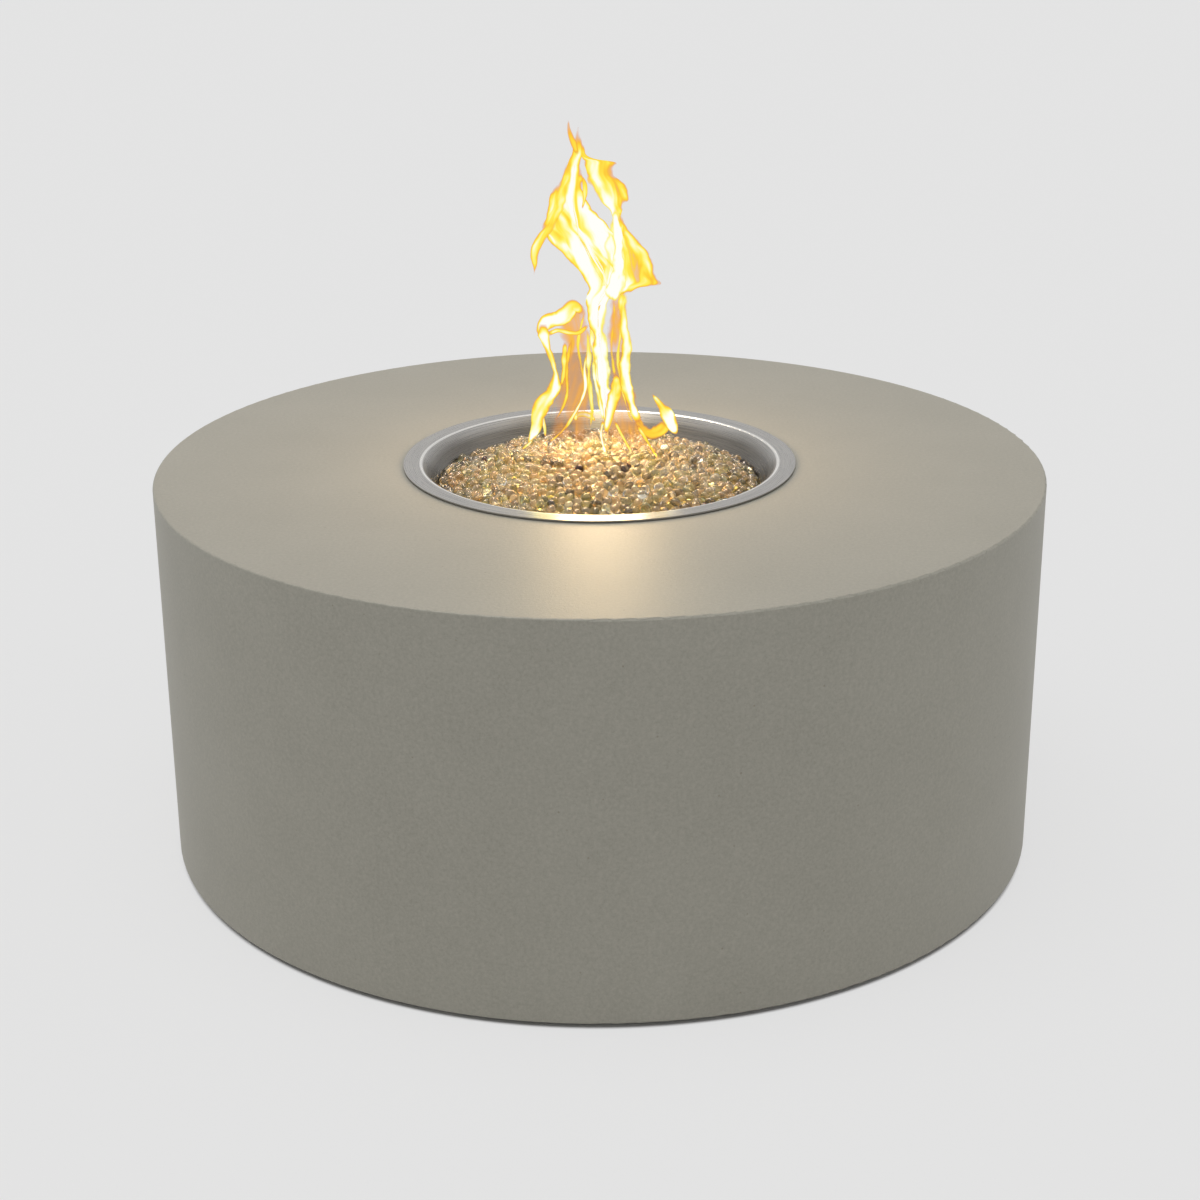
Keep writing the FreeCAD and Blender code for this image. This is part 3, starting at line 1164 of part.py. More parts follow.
# Vent grilles: curved slotted plates over the wall's two vents
grille_band = wall_shell("GrilleBand", "grille_inside", "grille_outside", "vent_height - grille_half_tall",
                         "2 * grille_half_tall")
vent_screws = []
for name, azimuth in vent_sides.items():
    limit = wall_block("GrilleLimit", azimuth, through_start, through_long, "grille_half_wide",
                       "vent_height - grille_half_tall", "2 * grille_half_tall")
    cuts = []
    for number in range(int(worth("grille_slot_count"))):
        low = "vent_height - vent_half_tall + (%d + 0.5) * grille_pitch - grille_slot_tall / 2" % number
        cuts.append(wall_block("GrilleSlot", azimuth, through_start, through_long, "grille_slot_half", low,
                               "grille_slot_tall"))
    for side, rise in vent_screw_spots:
        cuts.append(rod("GrilleHole", vent_screw_place(azimuth, side, rise, "grille_inside - slack_gap"),
                        "vent_screw_radius + hole_gap", "grille_sheet + 2 * slack_gap"))
        vent_screws.append(screw("VentScrew", vent_screw_place(azimuth, side, rise, "grille_outside + hole_gap"),
                                 "vent_screw_radius", "vent_screw_long", "vent_head_radius", "vent_head_thick"))
    node("vent_grille_" + name, less("Grille", shared("GrillePlate", grille_band, limit), cuts))
node("vent_screws", joined("VentScrews", vent_screws))


doc.recompute()
for item in doc.Objects:
    if {"Invalid", "Error"} & set(item.State):
        raise RuntimeError("%s (%s) failed: %s" % (item.Name, item.Label, item.getStatusString()))
for name, item in nodes.items():
    if item.Shape.isNull() or not item.Shape.isValid() or not item.Shape.Solids:
        raise RuntimeError("%s has no valid solid" % name)

os.makedirs("parts", exist_ok=True)
for name, item in nodes.items():
    item.Shape.exportStep("parts/%s.step" % name)
    print("%-22s %2d solids %12.0f mm3" % (name, len(item.Shape.Solids), item.Shape.Volume))
print(len(nodes), "nodes")
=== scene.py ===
import json
import math

import bmesh
import bpy
import numpy as np
from mathutils import Matrix, Vector


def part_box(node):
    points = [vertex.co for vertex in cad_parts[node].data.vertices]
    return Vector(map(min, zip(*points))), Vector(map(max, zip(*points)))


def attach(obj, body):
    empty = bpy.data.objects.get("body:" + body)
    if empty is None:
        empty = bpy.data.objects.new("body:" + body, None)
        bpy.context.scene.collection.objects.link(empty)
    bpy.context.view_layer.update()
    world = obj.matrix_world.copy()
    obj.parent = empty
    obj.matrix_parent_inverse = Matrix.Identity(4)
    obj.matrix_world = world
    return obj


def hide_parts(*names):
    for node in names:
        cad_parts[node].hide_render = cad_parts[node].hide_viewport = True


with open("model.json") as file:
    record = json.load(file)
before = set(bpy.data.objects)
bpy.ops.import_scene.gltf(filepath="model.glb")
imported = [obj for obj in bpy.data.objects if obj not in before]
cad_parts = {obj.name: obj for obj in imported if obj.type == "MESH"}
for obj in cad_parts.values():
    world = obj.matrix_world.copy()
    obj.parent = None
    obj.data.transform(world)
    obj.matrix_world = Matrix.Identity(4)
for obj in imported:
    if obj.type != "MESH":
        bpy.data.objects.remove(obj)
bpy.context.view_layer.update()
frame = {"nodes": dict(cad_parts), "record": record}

# Round gas fire pit table. Metres, Z up, the table's axis at the origin, the back of the table towards +Y.
# The CAD nodes carry the construction. This script dresses them and adds what only shows up close: the glass
# beads of the fire bed, the sockets of the screws, the igniter's coil spring and the marks of the control panel.
# The flame, the floor and the lights are there for the picture only.

MM = 0.001
NODES = frame["nodes"]

# Places read from the frame
DECK_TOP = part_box("shell")[1].z
SHELL_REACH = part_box("shell")[1].x
BED_LOW, BED_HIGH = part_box("fire_glass")
FLANGE_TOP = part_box("burner_pan")[1].z
PAN_FLOOR = BED_LOW.z

# Fire bed: a low dome of glass beads in the bowl
BOWL_MOUTH = 214.5 * MM
BOWL_FLOOR = 160 * MM
LIP_ROUND = 4 * MM
BED_EDGE_DROP = 22 * MM
BEAD_SIZE = 13.5 * MM
BEAD_COUNT = 1850
BEAD_DEPTH = 21 * MM
BED_CORE_DEPTH = 15 * MM
# Shares of a bead's size: how near two centres come, and how near one comes to the wall
BEAD_APART = 0.94
BEAD_FROM_WALL = 0.55

# Photograph's camera, solved from the outlines of the deck, the foot and the pan
LENS_MM = 67.507
SENSOR_MM = 36
CAMERA_PLACE = Vector((-0.0005, -2.6146, 1.2716))
CAMERA_PITCH = 0.3599
CAMERA_ROLL = -0.0066

chance = np.random.default_rng(7)

BODY_OF = {name: body for body, names in frame["record"]["behaviour"]["bodies"].items() for name in names}
CREASE = math.radians(28)
MERGE_CAD = 0.004 * MM
MERGE_NEW = 0.01 * MM


# Meshes from arrays

def quads(rows, columns, wrap_rows=False, wrap_columns=False):
    """Faces of a grid of points: each joins a point to the next in its row and column, and a wrapped side closes."""
    r = np.arange(rows if wrap_rows else rows - 1)[:, None]
    c = np.arange(columns if wrap_columns else columns - 1)[None, :]
    r_next, c_next = (r + 1) % rows, (c + 1) % columns
    corners = (r * columns + c, r * columns + c_next, r_next * columns + c_next, r_next * columns + c)
    return np.stack([corner.ravel() for corner in corners], axis=1)


def put(name, points, faces, finish, smooth=True):
    """Make an object from an array of points and an array of faces."""
    mesh = bpy.data.meshes.new(name)
    mesh.from_pydata(np.reshape(points, (-1, 3)).tolist(), [], np.asarray(faces).tolist())
    mesh.materials.append(finish)
    mesh.polygons.foreach_set("use_smooth", np.full(len(mesh.polygons), smooth))
    mesh.update()
    piece = bpy.data.objects.new(name, mesh)
    bpy.context.scene.collection.objects.link(piece)
    return piece


def swept(profile, t):
    """Points of a profile of (radius, height) pairs about the Z axis, at the angles t: x = r cos t, y = r sin t."""
    r = np.stack([np.broadcast_to(radius, t.shape) for radius, _ in profile])
    z = np.stack([np.broadcast_to(height, t.shape) for _, height in profile])
    return np.stack([r * np.cos(t), r * np.sin(t), z], axis=2)


def joined(name, patches, finish):
    """One object of several patches, each its points and faces, with doubled points merged and edges kept crisp."""
    firsts = np.cumsum([0] + [len(points) for points, _ in patches[:-1]])
    points = np.concatenate([points for points, _ in patches])
    piece = put(name, points, np.concatenate([faces + first for (_, faces), first in zip(patches, firsts)]), finish)
    shape = bmesh.new()
    shape.from_mesh(piece.data)
    bmesh.ops.remove_doubles(shape, verts=shape.verts, dist=MERGE_NEW)
    bmesh.ops.recalc_face_normals(shape, faces=shape.faces)
    shape.to_mesh(piece.data)
    shape.free()
    piece.data.set_sharp_from_angle(angle=CREASE)
    return piece


def stands_for(piece, node):
    """The piece takes the place and the body of a CAD node, which is hidden."""
    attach(piece, BODY_OF[node])
    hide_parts(node)


# Node trees

def srgb(text):
    """The linear colour of an sRGB hex value."""
    parts = [int(text[i:i + 2], 16) / 255 for i in (1, 3, 5)]
    return [p / 12.92 if p <= 0.04045 else ((p + 0.055) / 1.055) ** 2.4 for p in parts] + [1.0]


def add(tree, kind, inputs=None, **settings):
    """Add a node. Settings are its own options; inputs are values, or other nodes' outputs to link."""
    node = tree.nodes.new("ShaderNode" + kind)
    for name, value in settings.items():
        setattr(node, name, value)
    for socket, value in (inputs or {}).items():
        if isinstance(value, bpy.types.NodeSocket):
            tree.links.new(value, node.inputs[socket])
        else:
            node.inputs[socket].default_value = value
    return node


def blank(name):
    """A material with its tree cleared, and its output node."""
    material = bpy.data.materials.new(name)
    material.use_nodes = True
    material.node_tree.nodes.clear()
    return material, material.node_tree, add(material.node_tree, "OutputMaterial")


def tones(tree, share, dark, light, low=0.3, high=0.7):
    """Colours from dark to light as a share goes from low to high."""
    ramp = add(tree, "ValToRGB", {0: share})
    ramp.color_ramp.elements[0].position, ramp.color_ramp.elements[1].position = low, high
    ramp.color_ramp.elements[0].color, ramp.color_ramp.elements[1].color = srgb(dark), srgb(light)
    return ramp.outputs[0]


def between(tree, share, low, high):
    """A number that goes from low to high with a share of 0.3 to 0.7, the middle of a noise's range."""
    return add(tree, "MapRange", {0: share, 1: 0.3, 2: 0.7, 3: low, 4: high}).outputs[0]


def grained(name, dark, light, grain_mm, roughness, bump_mm=0.0, stretch=(1, 1, 1), detail=3.0, **surface):
    """A finish whose colour, gloss and height follow one grain, which stretch makes longer along an axis."""
    material, tree, output = blank(name)
    place = add(tree, "TexCoord").outputs["Object"]
    place = add(tree, "Mapping", {0: place, 3: [1 / s for s in stretch]}).outputs[0]
    grain = add(tree, "TexNoise", {0: place, "Scale": 1 / (grain_mm * MM), "Detail": detail}).outputs[0]
    sockets = {"Base Color": tones(tree, grain, dark, light), "Roughness": between(tree, grain, *roughness)}
    if bump_mm:
        sockets["Normal"] = add(tree, "Bump", {"Strength": 1.0, "Distance": bump_mm * MM, "Height": grain}).outputs[0]
    shader = add(tree, "BsdfPrincipled", {**sockets, **surface})
    tree.links.new(shader.outputs[0], output.inputs[0])
    return material


def cast_concrete():
    """Glass-fibre concrete, cast in a smooth mould and sealed: fine sandy grain, cloudy tone, a low even sheen."""
    material, tree, output = blank("cast_concrete")
    place = add(tree, "TexCoord").outputs["Object"]
    # Sand grains are under 1 mm; they are drawn 4 mm wide, with finer ones between, to show in the render
    sand = add(tree, "TexNoise", {0: place, "Scale": 1 / (4 * MM), "Detail": 3.0, "Roughness": 0.8}).outputs[0]
    clouds = add(tree, "TexNoise", {0: place, "Scale": 1 / (150 * MM), "Detail": 3.0, "Roughness": 0.6}).outputs[0]
    # Pinholes left by air in the mould, about 2 mm across and 30 mm apart
    pits = add(tree, "TexVoronoi", {0: place, "Scale": 1 / (30 * MM), "Randomness": 1.0}).outputs["Distance"]
    pit = add(tree, "MapRange", {0: pits, 1: 0.02, 2: 0.05, 3: 0.6, 4: 0.0}).outputs[0]
    base = tones(tree, sand, "#9B988C", "#BBB8AC", 0.3, 0.7)
    cloud = tones(tree, clouds, "#A7A498", "#B1AEA2")
    colour = add(tree, "Mix", {0: 0.45, 6: base, 7: cloud}, data_type="RGBA").outputs[2]
    # The pits are real hollows in the height, and are also painted darker: painted shade inside them
    colour = add(tree, "Mix", {0: pit, 6: colour, 7: srgb("#8F8979")}, data_type="RGBA").outputs[2]
    height = add(tree, "Math", {0: sand, 1: pit}, operation="SUBTRACT").outputs[0]
    bump = add(tree, "Bump", {"Strength": 1.0, "Distance": 0.4 * MM, "Height": height}).outputs[0]
    shader = add(tree, "BsdfPrincipled", {"Base Color": colour, "Roughness": between(tree, sand, 0.42, 0.6),
                                          "Specular IOR Level": 0.36, "Normal": bump})
    tree.links.new(shader.outputs[0], output.inputs[0])
    return material


def spun_stainless():
    """Stainless sheet, spun and brushed in rings about the axis: fine circular lines that stretch the highlights."""
    material, tree, output = blank("spun_stainless")
    place = add(tree, "TexCoord").outputs["Object"]
    x, y, z = add(tree, "SeparateXYZ", {0: place}).outputs
    across = add(tree, "Math", {0: x, 1: x}, operation="MULTIPLY").outputs[0]
    across = add(tree, "Math", {0: y, 1: y, 2: across}, operation="MULTIPLY_ADD").outputs[0]
    radius = add(tree, "Math", {0: across}, operation="SQRT").outputs[0]
    turn = add(tree, "Math", {0: y, 1: x}, operation="ARCTAN2").outputs[0]
    # Brush lines are 0.1 mm apart; they are drawn 1 mm apart to show, and run about 60 mm round the axis
    rings = add(tree, "Math", {0: radius, 1: 1 / (1.0 * MM)}, operation="MULTIPLY").outputs[0]
    steps = add(tree, "Math", {0: turn, 1: 3.5}, operation="MULTIPLY").outputs[0]
    depth = add(tree, "Math", {0: z, 1: 1 / (1.0 * MM)}, operation="MULTIPLY").outputs[0]
    lines = add(tree, "CombineXYZ", {0: rings, 1: steps, 2: depth}).outputs[0]
    brushing = add(tree, "TexNoise", {0: lines, "Scale": 1.0, "Detail": 2.0}).outputs[0]
    waves = add(tree, "TexNoise", {0: place, "Scale": 1 / (90 * MM), "Detail": 1.0}).outputs[0]
    height = add(tree, "Math", {0: waves, 1: 60.0, 2: brushing}, operation="MULTIPLY_ADD").outputs[0]
    bump = add(tree, "Bump", {"Strength": 1.0, "Distance": 0.007 * MM, "Height": height}).outputs[0]
    # The bowl is painted darker, as painted shade for the dim reflections inside it; the flange above it stays bright
    unshaded_flange = add(tree, "MapRange", {0: z, 1: FLANGE_TOP - 14 * MM, 2: FLANGE_TOP - 2 * MM}).outputs[0]
    colour = add(tree, "Mix", {0: unshaded_flange, 6: tones(tree, brushing, "#625F5A", "#726F6A"),
                               7: tones(tree, brushing, "#969593", "#A6A5A3")}, data_type="RGBA").outputs[2]
    # The lip is painted bright along the mouth: a painted highlight on its round
    off = add(tree, "Math", {0: radius, 1: BOWL_MOUTH + 1.5 * MM}, operation="SUBTRACT").outputs[0]
    off = add(tree, "Math", {0: off}, operation="ABSOLUTE").outputs[0]
    lip = add(tree, "MapRange", {0: off, 1: 2.4 * MM, 2: 1.0 * MM, 3: 0.0, 4: 1.0}).outputs[0]
    colour = add(tree, "Mix", {0: lip, 6: colour, 7: srgb("#DADAD8")}, data_type="RGBA").outputs[2]
    shader = add(tree, "BsdfPrincipled", {
        "Base Color": colour, "Metallic": 1.0,
        "Roughness": between(tree, brushing, 0.24, 0.32), "Normal": bump})
    tree.links.new(shader.outputs[0], output.inputs[0])
    return material


def bead_glass(name, tint, milky):
    """Tumbled glass beads, fire-polished: clear and tinted through, with a little milkiness that holds the light."""
    material, tree, output = blank(name)
    place = add(tree, "TexCoord").outputs["Object"]
    swirl = add(tree, "TexNoise", {0: place, "Scale": 1 / (9 * MM), "Detail": 1.0}).outputs[0]
    bump = add(tree, "Bump", {"Strength": 1.0, "Distance": 0.25 * MM, "Height": swirl}).outputs[0]
    shader = add(tree, "BsdfPrincipled", {
        "Base Color": tones(tree, swirl, tint[0], tint[1]), "Roughness": between(tree, swirl, 0.02, 0.05),
        "IOR": 1.5, "Transmission Weight": 1.0 - milky, "Normal": bump})
    tree.links.new(shader.outputs[0], output.inputs[0])
    return material


CONCRETE = cast_concrete()
SPUN_STEEL = spun_stainless()
# Brushed sheet: the brush lines run level; real ones are 0.1 mm apart, these are drawn 0.8 mm apart to show
BRUSHED_STEEL = grained("brushed_stainless", "#A6A5A3", "#C2C1BF", 0.8, (0.24, 0.38), 0.01, (30, 30, 1), Metallic=1.0)
# Drawn stainless tube, blued and browned a little by the flame
STEEL_TUBE = grained("drawn_stainless_tube", "#857B70", "#B2AEA8", 12, (0.28, 0.42), 0.01, Metallic=1.0)
# Zinc plating: pale, a little yellow, with soft cloudy gloss
ZINC = grained("zinc_plated_steel", "#A8A9A6", "#C9CAC6", 3, (0.25, 0.4), 0.01, Metallic=1.0)
# Satin nickel chrome: very even, low gloss
SATIN_CHROME = grained("satin_chrome", "#BDBDBE", "#CFCFD0", 1.5, (0.2, 0.27), 0.004, Metallic=1.0)
# Machined brass: fine turning marks, warm yellow with duller patches
BRASS = grained("machined_brass", "#B38F4B", "#D3B065", 5, (0.22, 0.38), 0.01, Metallic=1.0)
# Die-cast aluminium: grey, slightly rough skin
ALUMINIUM = grained("die_cast_aluminium", "#8F9092", "#A9AAAC", 1.6, (0.42, 0.56), 0.05, Metallic=1.0)
# Galvanised sheet: patches of zinc crystal, 8 mm wide
GALVANISED = grained("galvanised_sheet", "#8B8C89", "#A9AAA7", 8, (0.36, 0.52), 0.01, detail=0.0, Metallic=0.9)
# Powder coat matched to the casting: fine orange-peel skin
DOOR_PAINT = grained("powder_coat_door", "#A09D90", "#ABA89B", 2.5, (0.45, 0.56), 0.06)
GRILLE_PAINT = grained("powder_coat_grille", "#949184", "#9F9C8F", 2.0, (0.42, 0.52), 0.05)
# Extruded rubber hose: black, dusty where it is raised
HOSE_RUBBER = grained("extruded_rubber_hose", "#1B1B1C", "#2C2C2D", 3, (0.5, 0.68), 0.08)
FOOT_RUBBER = grained("moulded_foot_rubber", "#1D1D1D", "#2A2A2A", 1.5, (0.62, 0.8), 0.1)
# Silicone lead: pale grey-white, slightly waxy
LEAD_SILICONE = grained("silicone_lead", "#C9C6BE", "#DEDCD5", 4, (0.35, 0.48), 0.02)
# Drawn copper sheath: reddish, with tarnish in patches
COPPER = grained("drawn_copper_sheath", "#8E5A3E", "#C07F5C", 7, (0.25, 0.42), 0.01, Metallic=1.0)
# Moulded plastics: spark-eroded texture on the black, polish on the button
BLACK_PLASTIC = grained("moulded_black_plastic", "#191919", "#242424", 0.9, (0.42, 0.56), 0.03)
GLOSS_PLASTIC = grained("polished_black_plastic", "#0E0E0F", "#161617", 6, (0.12, 0.2), 0.0)
BATTERY_SLEEVE = grained("printed_battery_sleeve", "#2F343B", "#3A4048", 5, (0.2, 0.3), 0.01)
# Fired alumina: white, silky, faintly cream
CERAMIC = grained("fired_alumina", "#DAD5C9", "#EBE7DD", 2, (0.25, 0.36), 0.02)
# Compressed fibre sheet: pale, flecked, quite matt
GASKET = grained("fibre_gasket", "#B2AFA6", "#C9C6BD", 1.2, (0.8, 0.95), 0.1)
# Screen-printed dial marks
DIAL_INK = grained("screen_print_ink", "#1A1A1A", "#232323", 2, (0.5, 0.6), 0.0)
AMBER_GLASS = bead_glass("amber_glass", ("#F6DDB0", "#FFF0D2"), 0.12)
CLEAR_GLASS = bead_glass("clear_glass", ("#F8F4E6", "#FFFCF4"), 0.06)
OLIVE_GLASS = bead_glass("olive_glass", ("#DDD9A8", "#F1EDCB"), 0.08)
SMOKY_GLASS = bead_glass("smoky_glass", ("#A89C86", "#CFC3AC"), 0.06)
BROWN_GLASS = bead_glass("brown_glass", ("#4B2A12", "#7A4A22"), 0.2)
# Lower beads seen only through the upper ones: one pale amber mass
BED_CORE = grained("deep_glass", "#B09660", "#FFF0CC", 7, (0.08, 0.3), 3.0, detail=1.0)

FINISHES = {
    CONCRETE: ["shell"],
    SPUN_STEEL: ["burner_pan"],
    GASKET: ["pan_gasket"],
    BRUSHED_STEEL: ["igniter_hood", "probe_plate", "control_panel", "hinge_frame_leaves", "hinge_door_leaves"],
    STEEL_TUBE: ["ring_burner", "thermocouple_probe", "hinge_pins"],
    ZINC: ["burner_lock_nut", "burner_elbow", "panel_screws", "valve_neck_nut", "valve_stem", "igniter_spring",
           "inlet_washers", "frame_screws", "latch_nut", "latch_cam", "cam_screw", "vent_screws", "foot_screws"],
    BRASS: ["air_mixer", "gas_orifice", "valve_plug", "inlet_fitting", "inlet_lock_nut", "inlet_elbow", "flare_nuts"],
    CERAMIC: ["spark_electrode"],
    ALUMINIUM: ["gas_valve"],
    SATIN_CHROME: ["control_knob", "latch_housing", "latch_knob"],
    BLACK_PLASTIC: ["igniter_housing", "igniter_nut"],
    GLOSS_PLASTIC: ["igniter_button"],
    BATTERY_SLEEVE: ["igniter_battery"],
    HOSE_RUBBER: ["burner_hose", "supply_hose"],
    LEAD_SILICONE: ["ignition_lead"],
    COPPER: ["thermocouple_lead"],
    GALVANISED: ["door_frame"],
    DOOR_PAINT: ["door_leaf"],
    GRILLE_PAINT: ["vent_grille_right", "vent_grille_left"],
    FOOT_RUBBER: ["foot_pads"],
}
for finish, names in FINISHES.items():
    for name in names:
        for material_slot in NODES[name].material_slots:
            material_slot.material = finish


# Pieces whose curves show: the same shape with its triangles joined and its curves shaded smooth

def smoothed(name):
    """A copy of a CAD node with its triangles joined, smooth but for the edges where faces meet at a crease."""
    node = NODES[name]
    shape = bmesh.new()
    shape.from_mesh(node.data)
    bmesh.ops.remove_doubles(shape, verts=shape.verts, dist=MERGE_CAD)
    for face in shape.faces:
        face.smooth = True
    for edge in shape.edges:
        edge.smooth = edge.calc_face_angle(math.pi) < CREASE
    mesh = bpy.data.meshes.new(name + "_smooth")
    shape.to_mesh(mesh)
    shape.free()
    mesh.materials.append(node.material_slots[0].material)
    piece = bpy.data.objects.new(name + "_smooth", mesh)
    bpy.context.scene.collection.objects.link(piece)
    if name == "burner_pan":
        round_lip(mesh)
    else:
        weights = piece.modifiers.new("flat_faces_lead", "WEIGHTED_NORMAL")
        weights.mode, weights.weight, weights.keep_sharp = "FACE_AREA", 100, True
    stands_for(piece, name)


def round_lip(mesh):
    """Shade the pan's lip as one round: a point there faces straight away from the round's centre line."""
    corners, points = len(mesh.loops), len(mesh.vertices)
    normal, place = np.empty(corners * 3, np.float32), np.empty(points * 3, np.float32)
    owner = np.empty(corners, np.int32)
    mesh.corner_normals.foreach_get("vector", normal)
    mesh.vertices.foreach_get("co", place)
    mesh.loops.foreach_get("vertex_index", owner)
    normal, place = normal.reshape(-1, 3), place.reshape(-1, 3)[owner]
    out = np.hypot(place[:, 0], place[:, 1])
    across = np.minimum((out - BOWL_MOUTH - 2 * MM) / LIP_ROUND, 0)
    above = (place[:, 2] - FLANGE_TOP + LIP_ROUND) / LIP_ROUND
    top = (above > 0.5) & (np.abs(np.hypot(across, above) - 1) < 0.04) & (normal[:, 2] > 0.3)
    away = across[top, None] * place[top, :2] / out[top, None]
    normal[top] = np.concatenate([away, above[top, None]], axis=1)
    normal /= np.linalg.norm(normal, axis=1, keepdims=True)
    mesh.normals_split_custom_set(normal)


for name in ("shell", "burner_pan", "control_knob", "valve_stem", "igniter_housing", "igniter_button", "igniter_nut",
             "burner_hose", "supply_hose", "ignition_lead", "thermocouple_lead", "latch_knob", "latch_housing",
             "door_leaf", "vent_grille_right", "vent_grille_left", "inlet_fitting", "foot_pads", "ring_burner",
             "hinge_frame_leaves", "hinge_door_leaves", "hinge_pins"):
    smoothed(name)


# Screws and spring

def solids(name):
    """The points of each separate solid of a node."""
    shape = bmesh.new()
    shape.from_mesh(NODES[name].data)
    bmesh.ops.remove_doubles(shape, verts=shape.verts, dist=MERGE_CAD)
    left, found = set(shape.verts), []
    while left:
        reach = [left.pop()]
        for point in reach:
            near = {edge.other_vert(point) for edge in point.link_edges} & left
            left -= near
            reach.extend(near)
        found.append(np.array([point.co for point in reach]))
    shape.free()
    return found


def axis_of(points):
    """Centre and axis of a turned solid: the one direction in which its points spread otherwise than in the two."""
    centre = points.mean(axis=0)
    spread, ways = np.linalg.eigh(np.cov((points - centre).T))
    return centre, ways[:, 0] if spread[1] - spread[0] > spread[2] - spread[1] else ways[:, 2]


def facing(centre, axis, points):
    """Points about the Z axis set on an axis through a centre."""
    side = np.cross(axis, (0.3, 0.5, 0.8))
    side /= np.linalg.norm(side)
    return points.reshape(-1, 3) @ np.stack([side, np.cross(axis, side), axis]) + centre


SOCKET_DEEP = 1.6 * MM
EASE = 0.5 * MM


def socket_screws(name, finish, flats_mm):
    """Screws with a hexagon socket: each solid's length, shank and head are measured, and it is turned anew.

    The socket's wall is at f / (2 cos u) from the axis, with f its width across flats and u the angle from the
    middle of the nearest flat. The head's edge is eased.
    """
    t = np.linspace(0, 2 * math.pi, 36, endpoint=False)
    hexagon = flats_mm * MM / 2 / np.cos((t + math.pi / 6) % (math.pi / 3) - math.pi / 6)
    patches = []
    for points in solids(name):
        centre, axis = axis_of(points)
        along = (points - centre) @ axis
        out = np.linalg.norm(points - centre - along[:, None] * axis, axis=1)
        wide = out > 0.95 * out.max()
        if along[wide].mean() < along.mean():
            axis, along = -axis, -along
        head, shank = out.max(), out[along < along.min() + 0.1 * MM].max()
        foot, under, top = along.min(), along[wide].min(), along.max()
        floor = top - SOCKET_DEEP
        profile = [(0, foot), (shank - EASE, foot), (shank, foot + EASE), (shank, under), (head, under),
                   (head, top - EASE), (head - EASE, top), (hexagon, top), (hexagon, floor), (0, floor)]
        patches.append((facing(centre, axis, swept(profile, t)), quads(len(profile), len(t), wrap_columns=True)))
    stands_for(joined(name + "_socketed", patches, finish), name)


SOCKET_FLATS = {"panel_screws": 3, "vent_screws": 2.5, "frame_screws": 3, "foot_screws": 4, "cam_screw": 4}
for name, flats in SOCKET_FLATS.items():
    socket_screws(name, ZINC, flats)


def wire_spring(turns_count, wire_mm):
    """The igniter's return spring: a wire circle carried along a helix that fits the CAD solid's room."""
    points, = solids("igniter_spring")
    centre, axis = axis_of(points)
    along = (points - centre) @ axis
    coil = np.linalg.norm(points - centre - along[:, None] * axis, axis=1).max() - wire_mm / 2 * MM
    t = np.linspace(0, 2 * math.pi * turns_count, 24 * turns_count)[:, None]
    u = np.linspace(0, 2 * math.pi, 8, endpoint=False)[None, :]
    thick = wire_mm / 2 * MM * np.clip(np.minimum(t - t[0], t[-1] - t) * 1e6, 0, 1)
    rise = (t / t[-1] - 0.5) * (along.max() - along.min() - wire_mm * MM)
    out = coil + thick * np.cos(u)
    helix = np.stack([out * np.cos(t), out * np.sin(t), rise + thick * np.sin(u)], axis=2)
    patch = (facing(centre, axis, helix), quads(len(t), 8, wrap_columns=True))
    stands_for(joined("igniter_spring_coil", [patch], ZINC), "igniter_spring")


wire_spring(3, 0.9)


# Control panel's marks: OFF at the top, then the flame from HI at the left to LO at the bottom

PANEL_TURN = math.radians(42)
PANEL_OUT = Vector((math.sin(PANEL_TURN), math.cos(PANEL_TURN), 0))
PANEL_RIGHT = Vector((-math.cos(PANEL_TURN), math.sin(PANEL_TURN), 0))
PANEL_FACE, KNOB_FACE = 519 * MM, 550 * MM
KNOB_CENTRE = PANEL_RIGHT * 32 * MM + Vector((0, 0, 320 * MM))
INK_THICK = 0.1 * MM
DIAL_RADIUS = 26 * MM


def on_panel(points, face):
    """Points of (right, up, out) about the knob's centre set on a face that is square to the panel's normal."""
    ways = np.array([PANEL_RIGHT, (0, 0, 1), PANEL_OUT])
    return np.asarray(points, float).reshape(-1, 3) @ ways + np.array(KNOB_CENTRE + PANEL_OUT * face)


def ink_band(path, widths, face):
    """A band of ink along a path of (right, up): its section is a thin rectangle of the given widths."""
    path, widths = np.asarray(path, float), np.asarray(widths, float)[:, None]
    run = np.gradient(path, axis=0)
    side = np.stack([-run[:, 1], run[:, 0]], axis=1) / np.linalg.norm(run, axis=1, keepdims=True) * widths / 2
    rows = [np.insert(path + way * side, 2, level, axis=1)
            for way, level in ((-1, 0.0), (1, 0.0), (1, INK_THICK), (-1, INK_THICK))]
    last = 4 * (len(path) - 1)
    ends = np.array([[0, 1, 2, 3], [last + 3, last + 2, last + 1, last]])
    return on_panel(np.stack(rows, axis=1), face), np.concatenate([quads(len(path), 4, wrap_columns=True), ends])


def ink_word(text, right, up):
    """A word's outline in the plain built-in letters, 5 mm high, filled and given the ink's thickness."""
    letters = bpy.data.curves.new("dial_word", "FONT")
    letters.body, letters.size, letters.extrude = text, 7 * MM, INK_THICK / 2
    letters.align_x, letters.align_y = "CENTER", "CENTER"
    holder = bpy.data.objects.new("dial_word", letters)
    mesh = bpy.data.meshes.new_from_object(holder)
    shape = bmesh.new()
    shape.from_mesh(mesh)
    bmesh.ops.triangulate(shape, faces=shape.faces)
    points = np.array([point.co for point in shape.verts]) + (right, up, INK_THICK / 2)
    faces = np.array([[point.index for point in face.verts] for face in shape.faces])
    shape.free()
    bpy.data.objects.remove(holder)
    return on_panel(points, PANEL_FACE), faces


def dial_point(turn, radius):
    """A point of the dial at a turn in degrees from the top, against the clock: (-r sin t, r cos t)."""
    turn = np.radians(turn)
    return np.stack([-radius * np.sin(turn), radius * np.cos(turn)], axis=-1)


